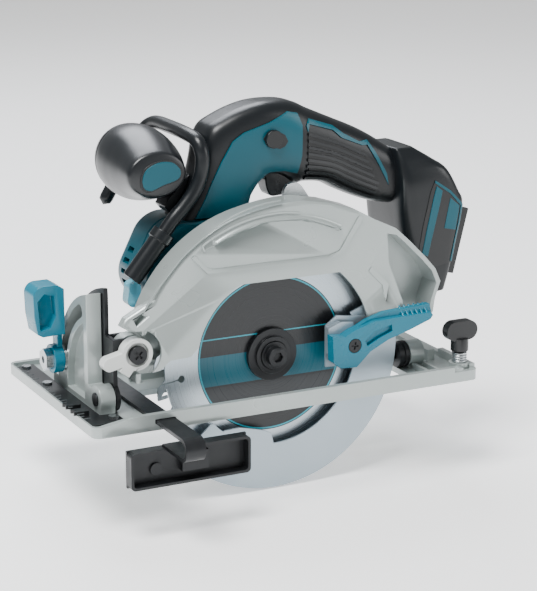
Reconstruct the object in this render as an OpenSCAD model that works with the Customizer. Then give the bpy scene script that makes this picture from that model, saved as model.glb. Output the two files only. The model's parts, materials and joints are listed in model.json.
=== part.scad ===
// Cordless circular saw, bare tool: base, bevel and depth gear, guards, blade drive and D-handle.
// Frame: origin at the centre of the sole, +X to the rear, -Y on the blade side, +Z up.

/* [Base] */
// Length of the sole along the cut
base_length = 276; // [264:1:290]
// Width of the sole across the cut
base_width = 156; // [152:1:170]
// Thickness of the sole plate
base_thickness = 4; // [3:0.5:4.5]
// Height of the blade side rim above the sole
rim_height = 10.5; // [9:0.5:11.5]
// Height of the front, rear and far rims above the sole
low_rim = 7; // [6:0.5:9]
// Thickness of the rims
rim_wall = 4; // [3:0.5:5]
// Distance of the blade plane from the centre line of the sole
blade_offset = 41; // [40:0.5:42]
// Height of the spindle above the sole
spindle_height = 27; // [26:0.5:30]
// Height of the bevel axis above the sole
bevel_height = 13; // [12.5:0.5:14]
// Thickness of the ruler strip on the front of the sole
ruler_thickness = 2; // [1.5:0.5:3]

/* [Blade] */
// Blade diameter
blade_d = 165; // [160:1:168]
// Blade body thickness
blade_plate = 1.2; // [1:0.1:1.4]
// Width of the cut
blade_kerf = 1.6; // [1.5:0.1:2]
// Number of teeth
blade_teeth = 24; // [12:12:48]
// Blade bore
blade_bore = 20; // [16:1:20]
// Diameter of the clamping flanges
flange_d = 35; // [32:1:36]
// Radius of the blade bolt's thread
bolt_r = 4; // [3:0.5:4]

/* [Guards] */
// Gap from the tooth tips to the lower guard's rim
tooth_gap = 6; // [5:0.5:7]
// Sheet thickness of the lower guard
guard_sheet = 1.5; // [1.2:0.1:1.8]
// Running gap between the two guards
guards_gap = 6.5; // [5:0.5:8]
// Wall of the upper guard
case_wall = 3; // [2.5:0.5:4]
// Angle through which the lower guard opens
guard_travel = 120; // [90:5:125]

/* [Drive] */
// Gear module
gear_module = 1; // [0.9:0.05:1]
// Teeth of the gear on the spindle
gear_teeth = 40; // [36:4:40]
// Teeth of the motor pinion
pinion_teeth = 10; // [10:1:12]
// Direction from the spindle to the motor axis
motor_angle = 116; // [110:1:125]
// Stator diameter
stator_d = 52; // [48:1:54]
// Rotor diameter
rotor_d = 26; // [22:1:28]
// Radius of the motor housing
motor_r = 40; // [38:0.5:42]

/* [Handle] */
// Width of the grip
grip_width = 36; // [32:1:40]
// Width of the battery foot
foot_width = 59; // [56:1:60]
// Wall of the handle shells
shell_wall = 2.6; // [2:0.2:3]
// Largest radius of the front knob
knob_r = 24.5; // [22:0.5:25]
// Length of the front knob
knob_length = 78; // [72:1:80]
// Diameter of the hanging hook's rod
hook_d = 9.5; // [8:0.5:10]

/* [Rip fence] */
// Width of the fence bar
bar_width = 13; // [11:0.5:14]
// Thickness of the fence bar
bar_thickness = 2.4; // [2:0.1:2.6]
// Length of the fence plate
fence_length = 81; // [70:1:90]
// Height of the fence plate
fence_height = 24; // [20:1:27]

/* [Fits] */
// Radial clearance of a running fit
run_fit = 0.06; // [0.05:0.01:0.1]
// Gap between neighbouring covers and seats
seat = 0.2; // [0.15:0.05:0.3]

/* [Hidden] */
$fn = 48;

// Places shared by several pieces; those of the saw's head are measured from the spindle
spindle = [0, -blade_offset, spindle_height];
sole_z = -spindle_height;
deck_z = sole_z + base_thickness;
near_y = blade_offset - base_width / 2;
far_y = blade_offset + base_width / 2;
rear_x = base_length / 2;
bevel_z = bevel_height - spindle_height;
blade_r = blade_d / 2;
guard_r = blade_r + tooth_gap + guard_sheet;
case_r = guard_r + guards_gap + case_wall;
guard_near = -8;
guard_far = 5.5;
case_near = -12.5;
case_back = 8.5;
opening_front = -82;
opening_rear = 95;
opening_far = 30;

// Bevel gear at the front
quad_x = -122;
quad_depth = 10;
quad_r = 66;
slot_r = 57;
slot_half = 4.3;
clamp_angle = 13;
bevel_travel = 50;
bevel_bolt_r = 4;
clamp_y = slot_r * cos(clamp_angle);
clamp_z = bevel_z + slot_r * sin(clamp_angle);

// Depth gear
pivot_x = -98;
pivot_z = 15;
pivot_r = 5;
depth_travel = 30;
guide_r = 148;
guide_y = 9;
guide_sheet = 3;
stud_angle = -3;
stud_r = 4;
stud_x = pivot_x + guide_r * cos(stud_angle);
stud_z = pivot_z + guide_r * sin(stud_angle);

// Drive line
gear_r = gear_module * gear_teeth / 2;
pinion_r = gear_module * pinion_teeth / 2;
motor_x = (gear_r + pinion_r) * cos(motor_angle);
motor_z = (gear_r + pinion_r) * sin(motor_angle);
gear_y = [18, 27];
snout_r = 22;
front_bearing = [7, 16];
rear_bearing = [37, 43];
rotor_front = [38, 45];
rotor_rear = [105, 112];
cover_y = [36, 46];
motor_end = 104;
cap_end = 118;
shaft_r = 4;
bearing_r = 11;
big_bearing_r = 16;
small_bearing_r = 9.5;
spindle_r = 7.5;
spindle_tail_r = 4;

// Handle
grip_y = 39;
grip_near = grip_y - grip_width / 2;
grip_far = grip_y + grip_width / 2;
foot_near = grip_y - foot_width / 2;
foot_far = grip_y + foot_width / 2;
button_x = 12;
button_z = 137;
button_r = 6;

// Front knob and hook
knob_x = -66;
knob_z = 121.5;
knob_near = 16;
hook_r = hook_d / 2;
hook_y = 15.4;
tube_r = hook_r + 1.6;
tube_foot = [-90, 56.5];
tube_top = [-67, 84.5];
tube_slope = atan2(tube_top[1] - tube_foot[1], tube_top[0] - tube_foot[0]);

// Rip fence
bar_x = -97;
bar_z = deck_z + seat;
bar_inner = 60;
bend_y = -75;
bend_r = 7.5;
fence_x = -121;
fence_top = -34;
fence_y = -44.5;
fence_flange = 9;

// Rear thumb screw
thumb_x = 130;
thumb_y = -24;

// ---- helpers -------------------------------------------------------------------------------

function arc(r, a0, a1, n = 16, c = [0, 0]) =
    [for (i = [0:n]) c + r * [cos(a0 + (a1 - a0) * i / n), sin(a0 + (a1 - a0) * i / n)]];

function polar(list) = [for (p = list) [p[1] * cos(p[0]), p[1] * sin(p[0])]];

// The saw's head, drawn about the spindle
module head() translate(spindle) children();

// An outline in X and Z, made solid from y0 to y1
module along_y(y0, y1) translate([0, y1, 0]) rotate([90, 0, 0]) linear_extrude(y1 - y0) children();

// An outline in Y and Z, made solid from x0 to x1
module along_x(x0, x1) translate([x0, 0, 0]) rotate([90, 0, 90]) linear_extrude(x1 - x0) children();

module along_z(z0, z1) translate([0, 0, z0]) linear_extrude(z1 - z0) children();

module rod_y(r, y0, y1, x = 0, z = 0)
    translate([x, y1, z]) rotate([90, 0, 0]) cylinder(r = r, h = y1 - y0);

module rod_x(r, x0, x1, y = 0, z = 0)
    translate([x0, y, z]) rotate([0, 90, 0]) cylinder(r = r, h = x1 - x0);

module rod_z(r, z0, z1, x = 0, y = 0)
    translate([x, y, z0]) cylinder(r = r, h = z1 - z0);

module block(x0, x1, y0, y1, z0, z1)
    translate([x0, y0, z0]) cube([x1 - x0, y1 - y0, z1 - z0]);

// A ring about the Y axis
module ring_y(r_out, r_in, y0, y1, x = 0, z = 0) difference() {
    rod_y(r_out, y0, y1, x, z);
    rod_y(r_in, y0 - 1, y1 + 1, x, z);
}

// A wedge from angle a0 to a1, less than a half turn
module wedge(r, a0, a1) polygon(concat([[0, 0]], arc(r, a0, a1, 6)));

// A slot along an arc about the origin, with round ends
module arc_slot(r, half, a0, a1) polygon(concat(arc(r + half, a0, a1, 24),
    arc(half, a1, a1 + 180, 8, r * [cos(a1), sin(a1)]), arc(r - half, a1, a0, 24),
    arc(half, a0 + 180, a0 + 360, 8, r * [cos(a0), sin(a0)])));

// A rectangle with round corners
module round_rect(x0, x1, y0, y1, r) {
    translate([x0 + r, y0]) square([x1 - x0 - 2 * r, y1 - y0]);
    translate([x0, y0 + r]) square([x1 - x0, y1 - y0 - 2 * r]);
    for (x = [x0 + r, x1 - r], y = [y0 + r, y1 - r]) translate([x, y]) circle(r);
}

// A straight bar with round ends between two points
module capsule(a, b, r) {
    length = norm(b - a);
    translate(a) rotate(atan2(b[1] - a[1], b[0] - a[0])) {
        translate([0, -r]) square([length, 2 * r]);
        circle(r);
        translate([length, 0]) circle(r);
    }
}

// ---- base ----------------------------------------------------------------------------------

housing_half = gear_r + 8;
boss_front = 101.5;
boss_rear = 112;
boss_r = 9;
slot_margin = 0.6;

module base_outline() round_rect(-rear_x, rear_x, near_y, far_y, 6);

front_rim = 1.3;

module base_rims() {
    along_z(sole_z, sole_z + low_rim) difference() {
        base_outline();
        round_rect(-rear_x + front_rim, rear_x - rim_wall, near_y + rim_wall, far_y - rim_wall, 3);
    }
    block(-rear_x + 26, 119, near_y, near_y + rim_wall, sole_z, sole_z + rim_height);
    along_y(near_y, near_y + rim_wall) polygon([[-rear_x + 5, sole_z + 1], [-rear_x + 27, sole_z + 1],
        [-rear_x + 27, sole_z + rim_height], [-rear_x + 5, sole_z + low_rim]]);
    block(rear_x - rim_wall, rear_x, near_y + 6, 10, sole_z, sole_z + rim_height - 1);
}

// Ribs across and along the rear of the sole
module base_ribs() {
    rib_top = deck_z + 5;
    for (x = [100, 118]) block(x, x + 3, opening_far + 6, far_y - rim_wall, deck_z - 1, rib_top);
    for (y = [50, 70, 92]) block(-78, 121, y, y + 3, deck_z - 1, rib_top);
    block(opening_rear + 1, rear_x - 12, near_y + 1, near_y + rim_wall + 4, deck_z - 1, rib_top);
    block(121, 126.5, 2, far_y - rim_wall - 20, deck_z - 1, deck_z + 8);
    for (x = [103, 111]) block(x, x + 2.4, near_y + 2, -8, deck_z - 1, rib_top - 1);
}

module base_plate() color("#cdd3cf") head() difference() {
    union() {
        along_z(sole_z, deck_z) base_outline();
        base_rims();
        base_ribs();
        rod_x(boss_r, boss_front, boss_rear, 0, bevel_z);
        block(boss_front, boss_rear, -6, 6, deck_z - 1, bevel_z);
        rod_z(7, deck_z - 1, deck_z + 6, thumb_x, thumb_y);
    }
    block(opening_front, opening_rear, near_y + rim_wall, opening_far, sole_z - 1, deck_z + 20);
    block(-housing_half, housing_half, near_y + rim_wall, cover_y[1] + 2, sole_z - 1, deck_z + 20);
    block(bar_x - slot_margin, bar_x + bar_width + slot_margin, near_y - 1, near_y + rim_wall + 1,
        bar_z - seat, bar_z + bar_thickness + slot_margin);
    rod_x(bevel_bolt_r + run_fit, boss_front - 1, boss_rear + 1, 0, bevel_z);
    rod_z(3.1, sole_z - 1, deck_z + 7, thumb_x, thumb_y);
    for (p = ruler_screw_places) rod_z(1.6, deck_z - 3, deck_z + 1, p[0], p[1]);
    for (y = quad_screw_y) rod_z(2.1, sole_z - 1, deck_z + 1, quad_x + quad_depth / 2, y);
    for (x = [48, 74]) along_z(sole_z - 1, deck_z + 1) round_rect(x, x + 14, 44, 62, 3);
}

ruler_screw_places = [[-118, -19], [-130.5, 64], [-130.5, 104]];
ruler_edge = -136.4;

module ruler_plate() color("#1d2023") head() difference() {
    union() {
        along_z(deck_z, deck_z + ruler_thickness) polygon([
            [ruler_edge, near_y + 9], [-113, near_y + 9], [-113, -11], [quad_x - 1.5, -10],
            [quad_x - 1.5, far_y - 9], [ruler_edge, far_y - 10]]);
        for (y = [-5, 9]) block(-rear_x - 2, ruler_edge + 0.3, y - 3.5, y + 3.5,
            sole_z + low_rim + seat, sole_z + low_rim + seat + 2.2);
        for (y = [-5, 9]) block(ruler_edge, -130, y - 3.5, y + 3.5,
            deck_z, sole_z + low_rim + seat + 2.2);
    }
    for (y = [0, 14]) translate([-rear_x - 2, y - 5, 0]) rotate(45)
        block(-1.6, 1.6, -1.6, 1.6, sole_z, deck_z + 20);
    for (p = ruler_screw_places) rod_z(1.7, deck_z - 1, deck_z + 5, p[0], p[1]);
}

module ruler_screws() color("#c8cacc") head() for (p = ruler_screw_places) {
    rod_z(1.5, deck_z - 2.5, deck_z + ruler_thickness + 0.5, p[0], p[1]);
    rod_z(3.2, deck_z + ruler_thickness, deck_z + ruler_thickness + 1.6, p[0], p[1]);
}

// ---- bevel gear ----------------------------------------------------------------------------

quad_near = 13;
quad_screw_y = [24, 46, 68];

module quadrant_outline() intersection() {
    union() {
        translate([0, bevel_z]) circle(quad_r, $fn = 96);
        translate([0, deck_z]) square([75, 7]);
    }
    translate([quad_near, deck_z]) square([75 - quad_near, 100]);
}

// The deep pocket under the slot, with a wall left all round it
module quadrant_pocket() intersection() {
    translate([0, bevel_z]) circle(slot_r - slot_half - 4, $fn = 96);
    translate([quad_near + 6, deck_z + 4]) square([60, 90]);
}

module bevel_quadrant() color("#cdd3cf") head() difference() {
    union() {
        along_x(quad_x, quad_x + quad_depth) quadrant_outline();
        rod_x(boss_r, quad_x, quad_x + quad_depth, 0, bevel_z);
        block(quad_x, quad_x + quad_depth, -8, quad_near + 1, deck_z, deck_z + 9);
        block(quad_x, quad_x + quad_depth, 4, quad_near + 1, deck_z, bevel_z + 6);
    }
    translate([0, 0, bevel_z]) along_x(quad_x - 1, quad_x + quad_depth + 1)
        arc_slot(slot_r, slot_half, clamp_angle - 1, clamp_angle + bevel_travel + 1);
    along_x(quad_x - 1, quad_x + 5) quadrant_pocket();
    rod_x(bevel_bolt_r + run_fit, quad_x - 1, quad_x + quad_depth + 1, 0, bevel_z);
    for (y = quad_screw_y) rod_z(2.1, deck_z - 1, deck_z + 3.6, quad_x + quad_depth / 2, y);
}

module quadrant_screws() color("#8d9194") head() for (y = quad_screw_y)
    rod_z(2, sole_z + 0.6, deck_z + 3.4, quad_x + quad_depth / 2, y);

module bevel_pivot_pin() color("#3a3d40") head() {
    rod_x(bevel_bolt_r, quad_x - 0.2, bracket_x + bracket_sheet + 1, 0, bevel_z);
    rod_x(4.2, quad_x - 1, quad_x - 0.2, 0, bevel_z);
}

module rear_pivot_screw() color("#1a1c1e") head() difference() {
    union() {
        rod_x(bevel_bolt_r, ear_x, boss_rear + 1, 0, bevel_z);
        rod_x(boss_r - 0.6, ear_x - 4, ear_x - seat, 0, bevel_z);
        rod_x(bevel_bolt_r, ear_x - seat - 1, ear_x + 1, 0, bevel_z);
    }
    rod_x(3, ear_x - 5, ear_x - 1.5, 0, bevel_z);
}

bracket_x = quad_x + quad_depth + 0.5;
bracket_sheet = 3;
arm_near = [-4, -1];
arm_far = [8.8, 11.8];

// The bracket's plate behind the quadrant: a sector that carries the clamp bolt
module bracket_plate() difference() {
    union() {
        intersection() {
            circle(quad_r + 3, $fn = 96);
            translate([quad_near - 4, -8]) square([80, 90]);
            rotate(-8) square([100, 100]);
        }
        circle(boss_r);
        translate([-4, -4]) square([22, 22]);
    }
    circle(bevel_bolt_r + run_fit);
    translate(slot_r * [cos(clamp_angle), sin(clamp_angle)]) circle(bevel_bolt_r + run_fit);
}

module front_bracket() color("#26292c") head() difference() {
    union() {
        translate([0, 0, bevel_z]) along_x(bracket_x, bracket_x + bracket_sheet) bracket_plate();
        along_x(bracket_x, bracket_x + bracket_sheet)
            polygon([[-4, bevel_z], [12, bevel_z], [12, pivot_z + 9], [-4, pivot_z + 9]]);
        for (y = [arm_near, arm_far]) along_y(y[0], y[1]) union() {
            translate([pivot_x, pivot_z]) circle(9);
            translate([bracket_x, pivot_z - 9]) square([pivot_x - bracket_x, 18]);
        }
    }
    rod_y(pivot_r + run_fit, -10, 20, pivot_x, pivot_z);
    rod_x(bevel_bolt_r + run_fit, bracket_x - 1, bracket_x + bracket_sheet + 1, 0, bevel_z);
}

// Clamp bolt through the slot, with its hexagon nut and washer in front
module bevel_bolt() color("#b9bcbe") head() difference() {
    union() {
        rod_x(bevel_bolt_r, -131, bracket_x + bracket_sheet + 1, clamp_y, clamp_z);
        translate([-136, clamp_y, clamp_z]) rotate([0, 90, 0]) cylinder(r = 7.5, h = 5, $fn = 6);
        rod_x(8.5, quad_x - 1.6, quad_x - seat, clamp_y, clamp_z);
        rod_x(6.5, bracket_x + bracket_sheet + seat, bracket_x + bracket_sheet + 4, clamp_y, clamp_z);
    }
    rod_x(2.4, -137, -134, clamp_y, clamp_z);
}

lever_x = [-130.9, -124];

// Clamp lever: a hub on the bolt, a steel strip and a scooped thumb paddle
module bevel_lever() color("#0a8a96") head() difference() {
    union() {
        rod_x(9.5, lever_x[0], lever_x[1], clamp_y, clamp_z);
        block(-127.5, lever_x[1], clamp_y - 4.5, clamp_y + 4.5, clamp_z, 26);
        along_y(clamp_y - 10, clamp_y + 8) polygon(concat(
            [[-124, 17], [-124, 47], [-129, 50]],
            arc(7, 95, 175, 6, [-138, 43]),
            [[-144.5, 30], [-142.5, 18.5], [-139, 16.5]]));
    }
    rod_x(bevel_bolt_r + run_fit, lever_x[0] - 1, lever_x[1] + 1, clamp_y, clamp_z);
    along_y(clamp_y - 11, clamp_y - 4) polygon([[-140.5, 21], [-142, 40], [-137, 45], [-131, 43],
        [-130, 30], [-134, 22]]);
}

// ---- depth gear ----------------------------------------------------------------------------

module depth_pivot_pin() color("#17191b") head() difference() {
    union() {
        rod_y(pivot_r, -12.5, arm_far[1] + 1, pivot_x, pivot_z);
        rod_y(pivot_r + 0.9, -13.6, -12, pivot_x, pivot_z);
        rod_y(pivot_r + 2, arm_far[1] + seat, arm_far[1] + 3, pivot_x, pivot_z);
    }
    for (a = [45, 135]) translate([pivot_x, -13.6, pivot_z]) rotate([0, a, 0])
        cube([6, 2.4, 1.3], center = true);
}

// Bevel stop dial with two ears, on the end of the pivot pin
module positive_stopper() color("#e2e5e2") head() difference() {
    along_y(-11.8, arm_near[0] - seat) union() {
        translate([pivot_x, pivot_z]) circle(10.5);
        translate([pivot_x, pivot_z]) rotate(193) translate([0, -4.5]) square([19, 9]);
        translate([pivot_x, pivot_z]) rotate(193) translate([19, 0]) circle(4.5);
        translate([pivot_x, pivot_z]) rotate(232) translate([0, -4]) square([15, 8]);
    }
    rod_y(pivot_r + run_fit, -15, 0, pivot_x, pivot_z);
    rod_y(pivot_r + 2.6, -12, -9, pivot_x, pivot_z);
}

guide_half = 7.5;
guide_bottom = -12.5;
guide_top = 36;

module depth_guide() color("#a9adaf") head() difference() {
    union() {
        translate([pivot_x, 0, pivot_z]) along_y(guide_y, guide_y + guide_sheet)
            arc_slot(guide_r, guide_half, guide_bottom, guide_top);
        block(stud_x - 9, ear_x - 0.1, guide_y, guide_y + guide_sheet, deck_z + 1, deck_z + 15);
    }
    translate([pivot_x, 0, pivot_z]) along_y(guide_y - 1, guide_y + guide_sheet + 1)
        arc_slot(guide_r, stud_r + 0.3, stud_angle - 1, stud_angle + depth_travel + 1);
    for (x = rivet_x) rod_y(2.1, guide_y - 1, guide_y + guide_sheet + 1, x, deck_z + 8);
}

ear_x = 97.8;
ear_sheet = 3.2;
rivet_x = [82, 92];

module rear_bracket() color("#1a1c1e") head() {
    difference() {
        along_x(ear_x, ear_x + ear_sheet) union() {
            translate([0, bevel_z]) circle(boss_r);
            translate([0, deck_z + 1]) square([guide_y + guide_sheet + 3, 14]);
        }
        rod_x(bevel_bolt_r + run_fit, ear_x - 1, ear_x + 5, 0, bevel_z);
    }
    block(76, ear_x + ear_sheet, guide_y + guide_sheet, guide_y + guide_sheet + 3,
        deck_z + 1, deck_z + 15);
    for (x = rivet_x) rod_y(2, guide_y - 0.3, guide_y + guide_sheet + 1, x, deck_z + 8);
}

module depth_stud() color("#b9bcbe") head() {
    rod_y(6, case_back - 2.3, case_back - 0.1, stud_x, stud_z);
    rod_y(stud_r, case_back - 1, 21, stud_x, stud_z);
}

module depth_lever() color("#1d2023") head() difference() {
    along_y(guide_y + guide_sheet + seat, 19.5) union() {
        translate([stud_x, stud_z]) circle(9);
        capsule([stud_x, stud_z], [88, 33], 5.5);
    }
    rod_y(stud_r + run_fit, 0, 30, stud_x, stud_z);
}

// ---- guards --------------------------------------------------------------------------------

// Rear hump of the upper guard: angle and height beyond the round rim
hump = [[98, 0.35], [92, 1.2], [86, 2.5], [80, 4], [69.4, 5.8], [59.4, 8.5], [50.4, 10.2], [41.8, 15.9], [34.6, 18.4], [26.8, 22.6],
    [21.5, 26.2], [17, 27], [12.5, 20.4], [8.5, 17.5]];

function case_points(inset) = concat([[-60, -4 + inset]], arc(case_r - inset, 182, 102, 36),
    polar([for (h = hump) [h[0], case_r + h[1] - inset]]), [[115.3 - inset, 16 + inset], [0, 16 + inset]]);

module case_outline(inset = 0) polygon(case_points(inset));

// Window in the near plate that shows the blade
module case_window() {
    left_r = 58.5;
    right_r = 68.5;
    top_z = 52;
    intersection() {
        union() {
            circle(left_r);
            intersection() {
                circle(right_r);
                translate([0, -20]) square([100, 100]);
            }
        }
        translate([-100, -100]) square([200, 100 + top_z]);
    }
    polygon([[-57, 14], [-62, 9], [-76, 8.5], [-83, 3], [-130, -3], [-130, -60], [150, -60], [150, 16],
        [60, 16], [0, 0]]);
}

// Chute at the rear of the near plate
chute = [[79.5, 74], [81, 54], [92, 27], [93, 20], [140, 20], [140, 60]];

module pivot_relief(r) translate([pivot_x, pivot_z]) circle(r);

module case_shell() {
    along_y(case_near, case_near + 2) difference() {
        case_outline();
        case_window();
        polygon(chute);
        pivot_relief(16);
    }
    along_y(case_near, case_back) difference() {
        case_outline();
        case_outline(case_wall);
        translate([case_wall - case_r + 2, -60]) square([case_r + 108, 60 + 16 + case_wall + 0.2]);
        pivot_relief(12.5);
    }
    along_y(case_back - 2.5, case_back) difference() {
        union() {
            case_outline();
            translate([pivot_x, pivot_z]) circle(10);
            polygon([[pivot_x, pivot_z + 10], [pivot_x, pivot_z - 10], [-38, -8], [-60, 40]]);
            flange_outline();
        }
        circle(snout_hole);
    }
}

snout_hole = 30.5;
mount_flange_r = 39.5;

// The round flange that the gear housing and the upper guard share
module flange_outline() intersection() {
    circle(mount_flange_r);
    translate([-50, -21]) square([100, 100]);
}

// Raised panel, crescent and arrow on the near plate
module case_relief() {
    along_y(case_near - 0.8, case_near + 1) difference() {
        polygon([[-50, 62], [37, 62], [47, 66], [61, 86.5], [58, 88], [44, 66.5], [36, 64.4], [-49, 64.4],
            [-59, 74.5], [-61, 73]]);
        circle(58.5);
    }
    along_y(case_near - 0.8, case_near + 1)
        arc_slot(case_r - 8, 1, 62, 118);
    along_y(case_near - 0.6, case_near + 1)
        polygon([[66, 50], [76, 40], [79, 29], [81, 40], [77, 44], [68, 53]]);
}

module blade_case() color("#cdd3cf") head() difference() {
    union() {
        case_shell();
        case_relief();
        rod_y(10, arm_near[1] + seat, case_back, pivot_x, pivot_z);
        along_y(case_near, case_near + 7) difference() {
            polygon([[-108.5, 34], [-105.5, 39], [-97, 43.5], [-84, 50], [-78, 40], [-88, 30],
                [-103, 30.5]]);
            circle(case_r - case_wall);
        }
    }
    along_y(case_near - 1, case_near + 5) polygon([[-101, 38], [-95.5, 41], [-93.5, 39], [-98.5, 33]]);
    rod_y(pivot_r + run_fit, -20, 20, pivot_x, pivot_z);
    rod_y(6.2, case_back - 2.4, case_back + 1, stud_x, stud_z);
    for (a = case_screw_angles) {
        rod_y(2.1, 0, 10, screw_ring * cos(a), screw_ring * sin(a));
        rod_y(3.5, 0, case_back - 0.9, screw_ring * cos(a), screw_ring * sin(a));
    }
}

screw_ring = 35;
case_screw_angles = [15, 90, 165, 205, 335];

module case_screws() color("#3a3d40") head() for (a = case_screw_angles)
    translate([screw_ring * cos(a), 0, screw_ring * sin(a)]) {
        rod_y(2, case_back - 1.5, case_back + 3.8);
        rod_y(3.4, case_back - 2.4, case_back - 0.95);
    }

guard_front = -139;
guard_rear = 22;

// The band of the lower guard, seen from the side
module guard_sector(r_in) difference() {
    intersection() {
        circle(guard_r, $fn = 120);
        union() {
            wedge(2 * guard_r, guard_front, -60);
            wedge(2 * guard_r, -61, guard_rear);
        }
    }
    circle(r_in, $fn = 96);
}

module lower_guard() color("#9fabb3") head() difference() {
    union() {
        along_y(guard_near, guard_far) guard_sector(guard_r - guard_sheet);
        along_y(guard_near, guard_near + guard_sheet) union() {
            guard_sector(59.5);
            intersection() {
                circle(guard_r, $fn = 120);
                polygon([[-52, -45.5], [-47, -50], [-36, -45.5], [-26, -45], [-10, -49], [-3, -52],
                    [-1, -60], [2, -100], [-62, -100], [-60.5, -66]]);
            }
        }
        along_y(guard_far - guard_sheet, guard_far) union() {
            guard_sector(58);
            circle(32);
            for (a = [guard_front + 14, -60, guard_rear - 14]) rotate(a)
                translate([0, -13]) square([62, 26]);
        }
    }
    rod_y(snout_r + run_fit, -20, 20);
    for (p = bracket_rivets) rod_y(1.6, -20, 0, p[0], p[1]);
}

bracket_rivets = [[64, -6], [65, 8]];

module guard_ring() color("#5b6064") head() difference() {
    ring_y(25.5, snout_r - 1 + run_fit, guard_far - guard_sheet - 1.3, guard_far - guard_sheet - 0.2);
    block(-3, 3, -10, 20, -40, 0);
}

// Torsion spring about the snout, in the pocket behind the upper guard
module guard_spring() color("#8d9194") head() {
    coil_r = 27;
    wire = 0.9;
    for (i = [0, 1]) translate([0, case_back + 1.2 + 1.9 * i, 0]) rotate([90, 0, 0])
        rotate_extrude() translate([coil_r, 0]) circle(wire);
    rod_y(wire, case_back + 1.2, case_back + 3.1, coil_r, 0);
    rod_y(wire, guard_far + 0.3, case_back + 1.2, -coil_r, 0);
}

module guard_bracket() color("#8f979c") head() difference() {
    union() {
        along_y(guard_near - 1.6, guard_near) polygon([[36, -12], [74, -14], [72, 18], [44, 22], [36, 16]]);
        along_y(case_near - 1.1, case_near - 0.4) polygon([[35.5, -2], [48, -10], [56.5, -6], [57, 6],
            [54, 17.5], [46, 18.5], [36, 15]]);
        along_y(case_near - 1.1, guard_near - 1.5) polygon([[35.5, -2], [47, -10], [50, -6], [50.6, 4],
            [48, 15.5], [45, 18.5], [36, 15]]);
        for (p = bracket_rivets) rod_y(1.55, guard_near - 1, guard_near + guard_sheet, p[0], p[1]);
    }
    rod_y(2.1, -30, case_near - 0.3, lever_screw[0], lever_screw[1]);
}

lever_screw = [51.5, 3.5];
lever_y = [-21.5, case_near - 1.1];

// Outline of the lever's near half, and what its far half adds on top
lever_face = [[35, 11.5], [35.8, -6], [41, -10.5], [53, -11.2], [63.3, -1.8], [76.8, 4.6], [93.5, 9.3],
    [108.5, 14.5], [110.5, 17], [109, 19.2], [85.7, 19], [66, 18.4], [50, 13.5], [44, 10.5]];
lever_crest = [[49, 9], [107, 14], [111, 19], [109.5, 24.2], [87.8, 23], [75.6, 22.4], [62, 18.5],
    [56, 15.5]];
lever_step = -18;

module guard_lever() color("#0a8a96") head() difference() {
    union() {
        along_y(lever_y[0], lever_y[1]) polygon(lever_face);
        along_y(lever_step, lever_y[1]) polygon(lever_crest);
    }
    along_y(lever_y[0] - 1, lever_y[0] + 2.5) polygon([[59, 6], [66, 11.5], [79, 14.5], [79.5, 10],
        [70, 6.5], [61, 2]]);
    rod_y(4.9, lever_y[0] - 1, lever_y[0] + 2, lever_screw[0], lever_screw[1]);
    rod_y(2.1, -30, -6, lever_screw[0], lever_screw[1]);
}

module guard_lever_screw() color("#1a1c1e") head() difference() {
    union() {
        rod_y(2, lever_y[0] + 1.5, case_near - 0.4, lever_screw[0], lever_screw[1]);
        rod_y(4.6, lever_y[0], lever_y[0] + 1.9, lever_screw[0], lever_screw[1]);
    }
    for (a = [10, 100]) translate([lever_screw[0], lever_y[0], lever_screw[1]])
        rotate([0, a, 0]) cube([5, 2, 1.1], center = true);
}

// ---- blade and spindle ---------------------------------------------------------------------

keyhole_r = 64;
gullet = 7.5;

module blade() color("#b4bcc2") head() difference() {
    union() {
        rod_y(blade_r - gullet, -blade_plate / 2, blade_plate / 2, $fn = 120);
        for (i = [0:blade_teeth - 1]) rotate([0, -i * 360 / blade_teeth, 0]) {
            along_y(-blade_plate / 2, blade_plate / 2) polygon([
                [blade_r - gullet - 3, -8], [blade_r - 0.8, -0.5], [blade_r - 0.4, -3],
                [blade_r - 2.2, -8], [blade_r - gullet - 1.5, -12]]);
            along_y(-blade_kerf / 2, blade_kerf / 2) polygon([
                [blade_r - 7, 0.6], [blade_r, 0], [blade_r - 0.4, -2], [blade_r - 7, -1.4]]);
        }
    }
    rod_y(blade_bore / 2 + 0.05, -5, 5);
    for (a = [8, 98, 188, 278]) rotate([0, -a, 0]) along_y(-5, 5) union() {
        translate([keyhole_r, 0]) circle(2.4, $fn = 24);
        translate([keyhole_r, -0.4]) square([30, 0.8]);
    }
}

flange_face = blade_plate / 2;
shoulder_y = 2.4;

module outer_flange() color("#232629") head() difference() {
    union() {
        rod_y(flange_d / 2, -flange_face - 3.4, -flange_face);
        rod_y(12.5, -flange_face - 5.4, -flange_face - 3.3);
    }
    rod_y(bolt_r + 0.15, -20, 5);
    rod_y(9.4, -20, -flange_face - 4.4);
}

module inner_flange() color("#3a3d40") head() difference() {
    union() {
        rod_y(flange_d / 2, flange_face, shoulder_y);
        rod_y(blade_bore / 2, -flange_face + 0.1, 2);
    }
    rod_y(bolt_r + 2.1, -5, 10);
}

module blade_bolt() color("#2b2e31") head() difference() {
    union() {
        rod_y(9.2, -flange_face - 6.4, -flange_face - 4.4);
        rod_y(6.5, -flange_face - 11.5, -flange_face - 5.4);
        rod_y(bolt_r, -flange_face - 5, 14);
    }
    translate([0, -flange_face - 9, 0]) rotate([90, 0, 0]) cylinder(r = 3.5, h = 5, $fn = 6);
}

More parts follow.
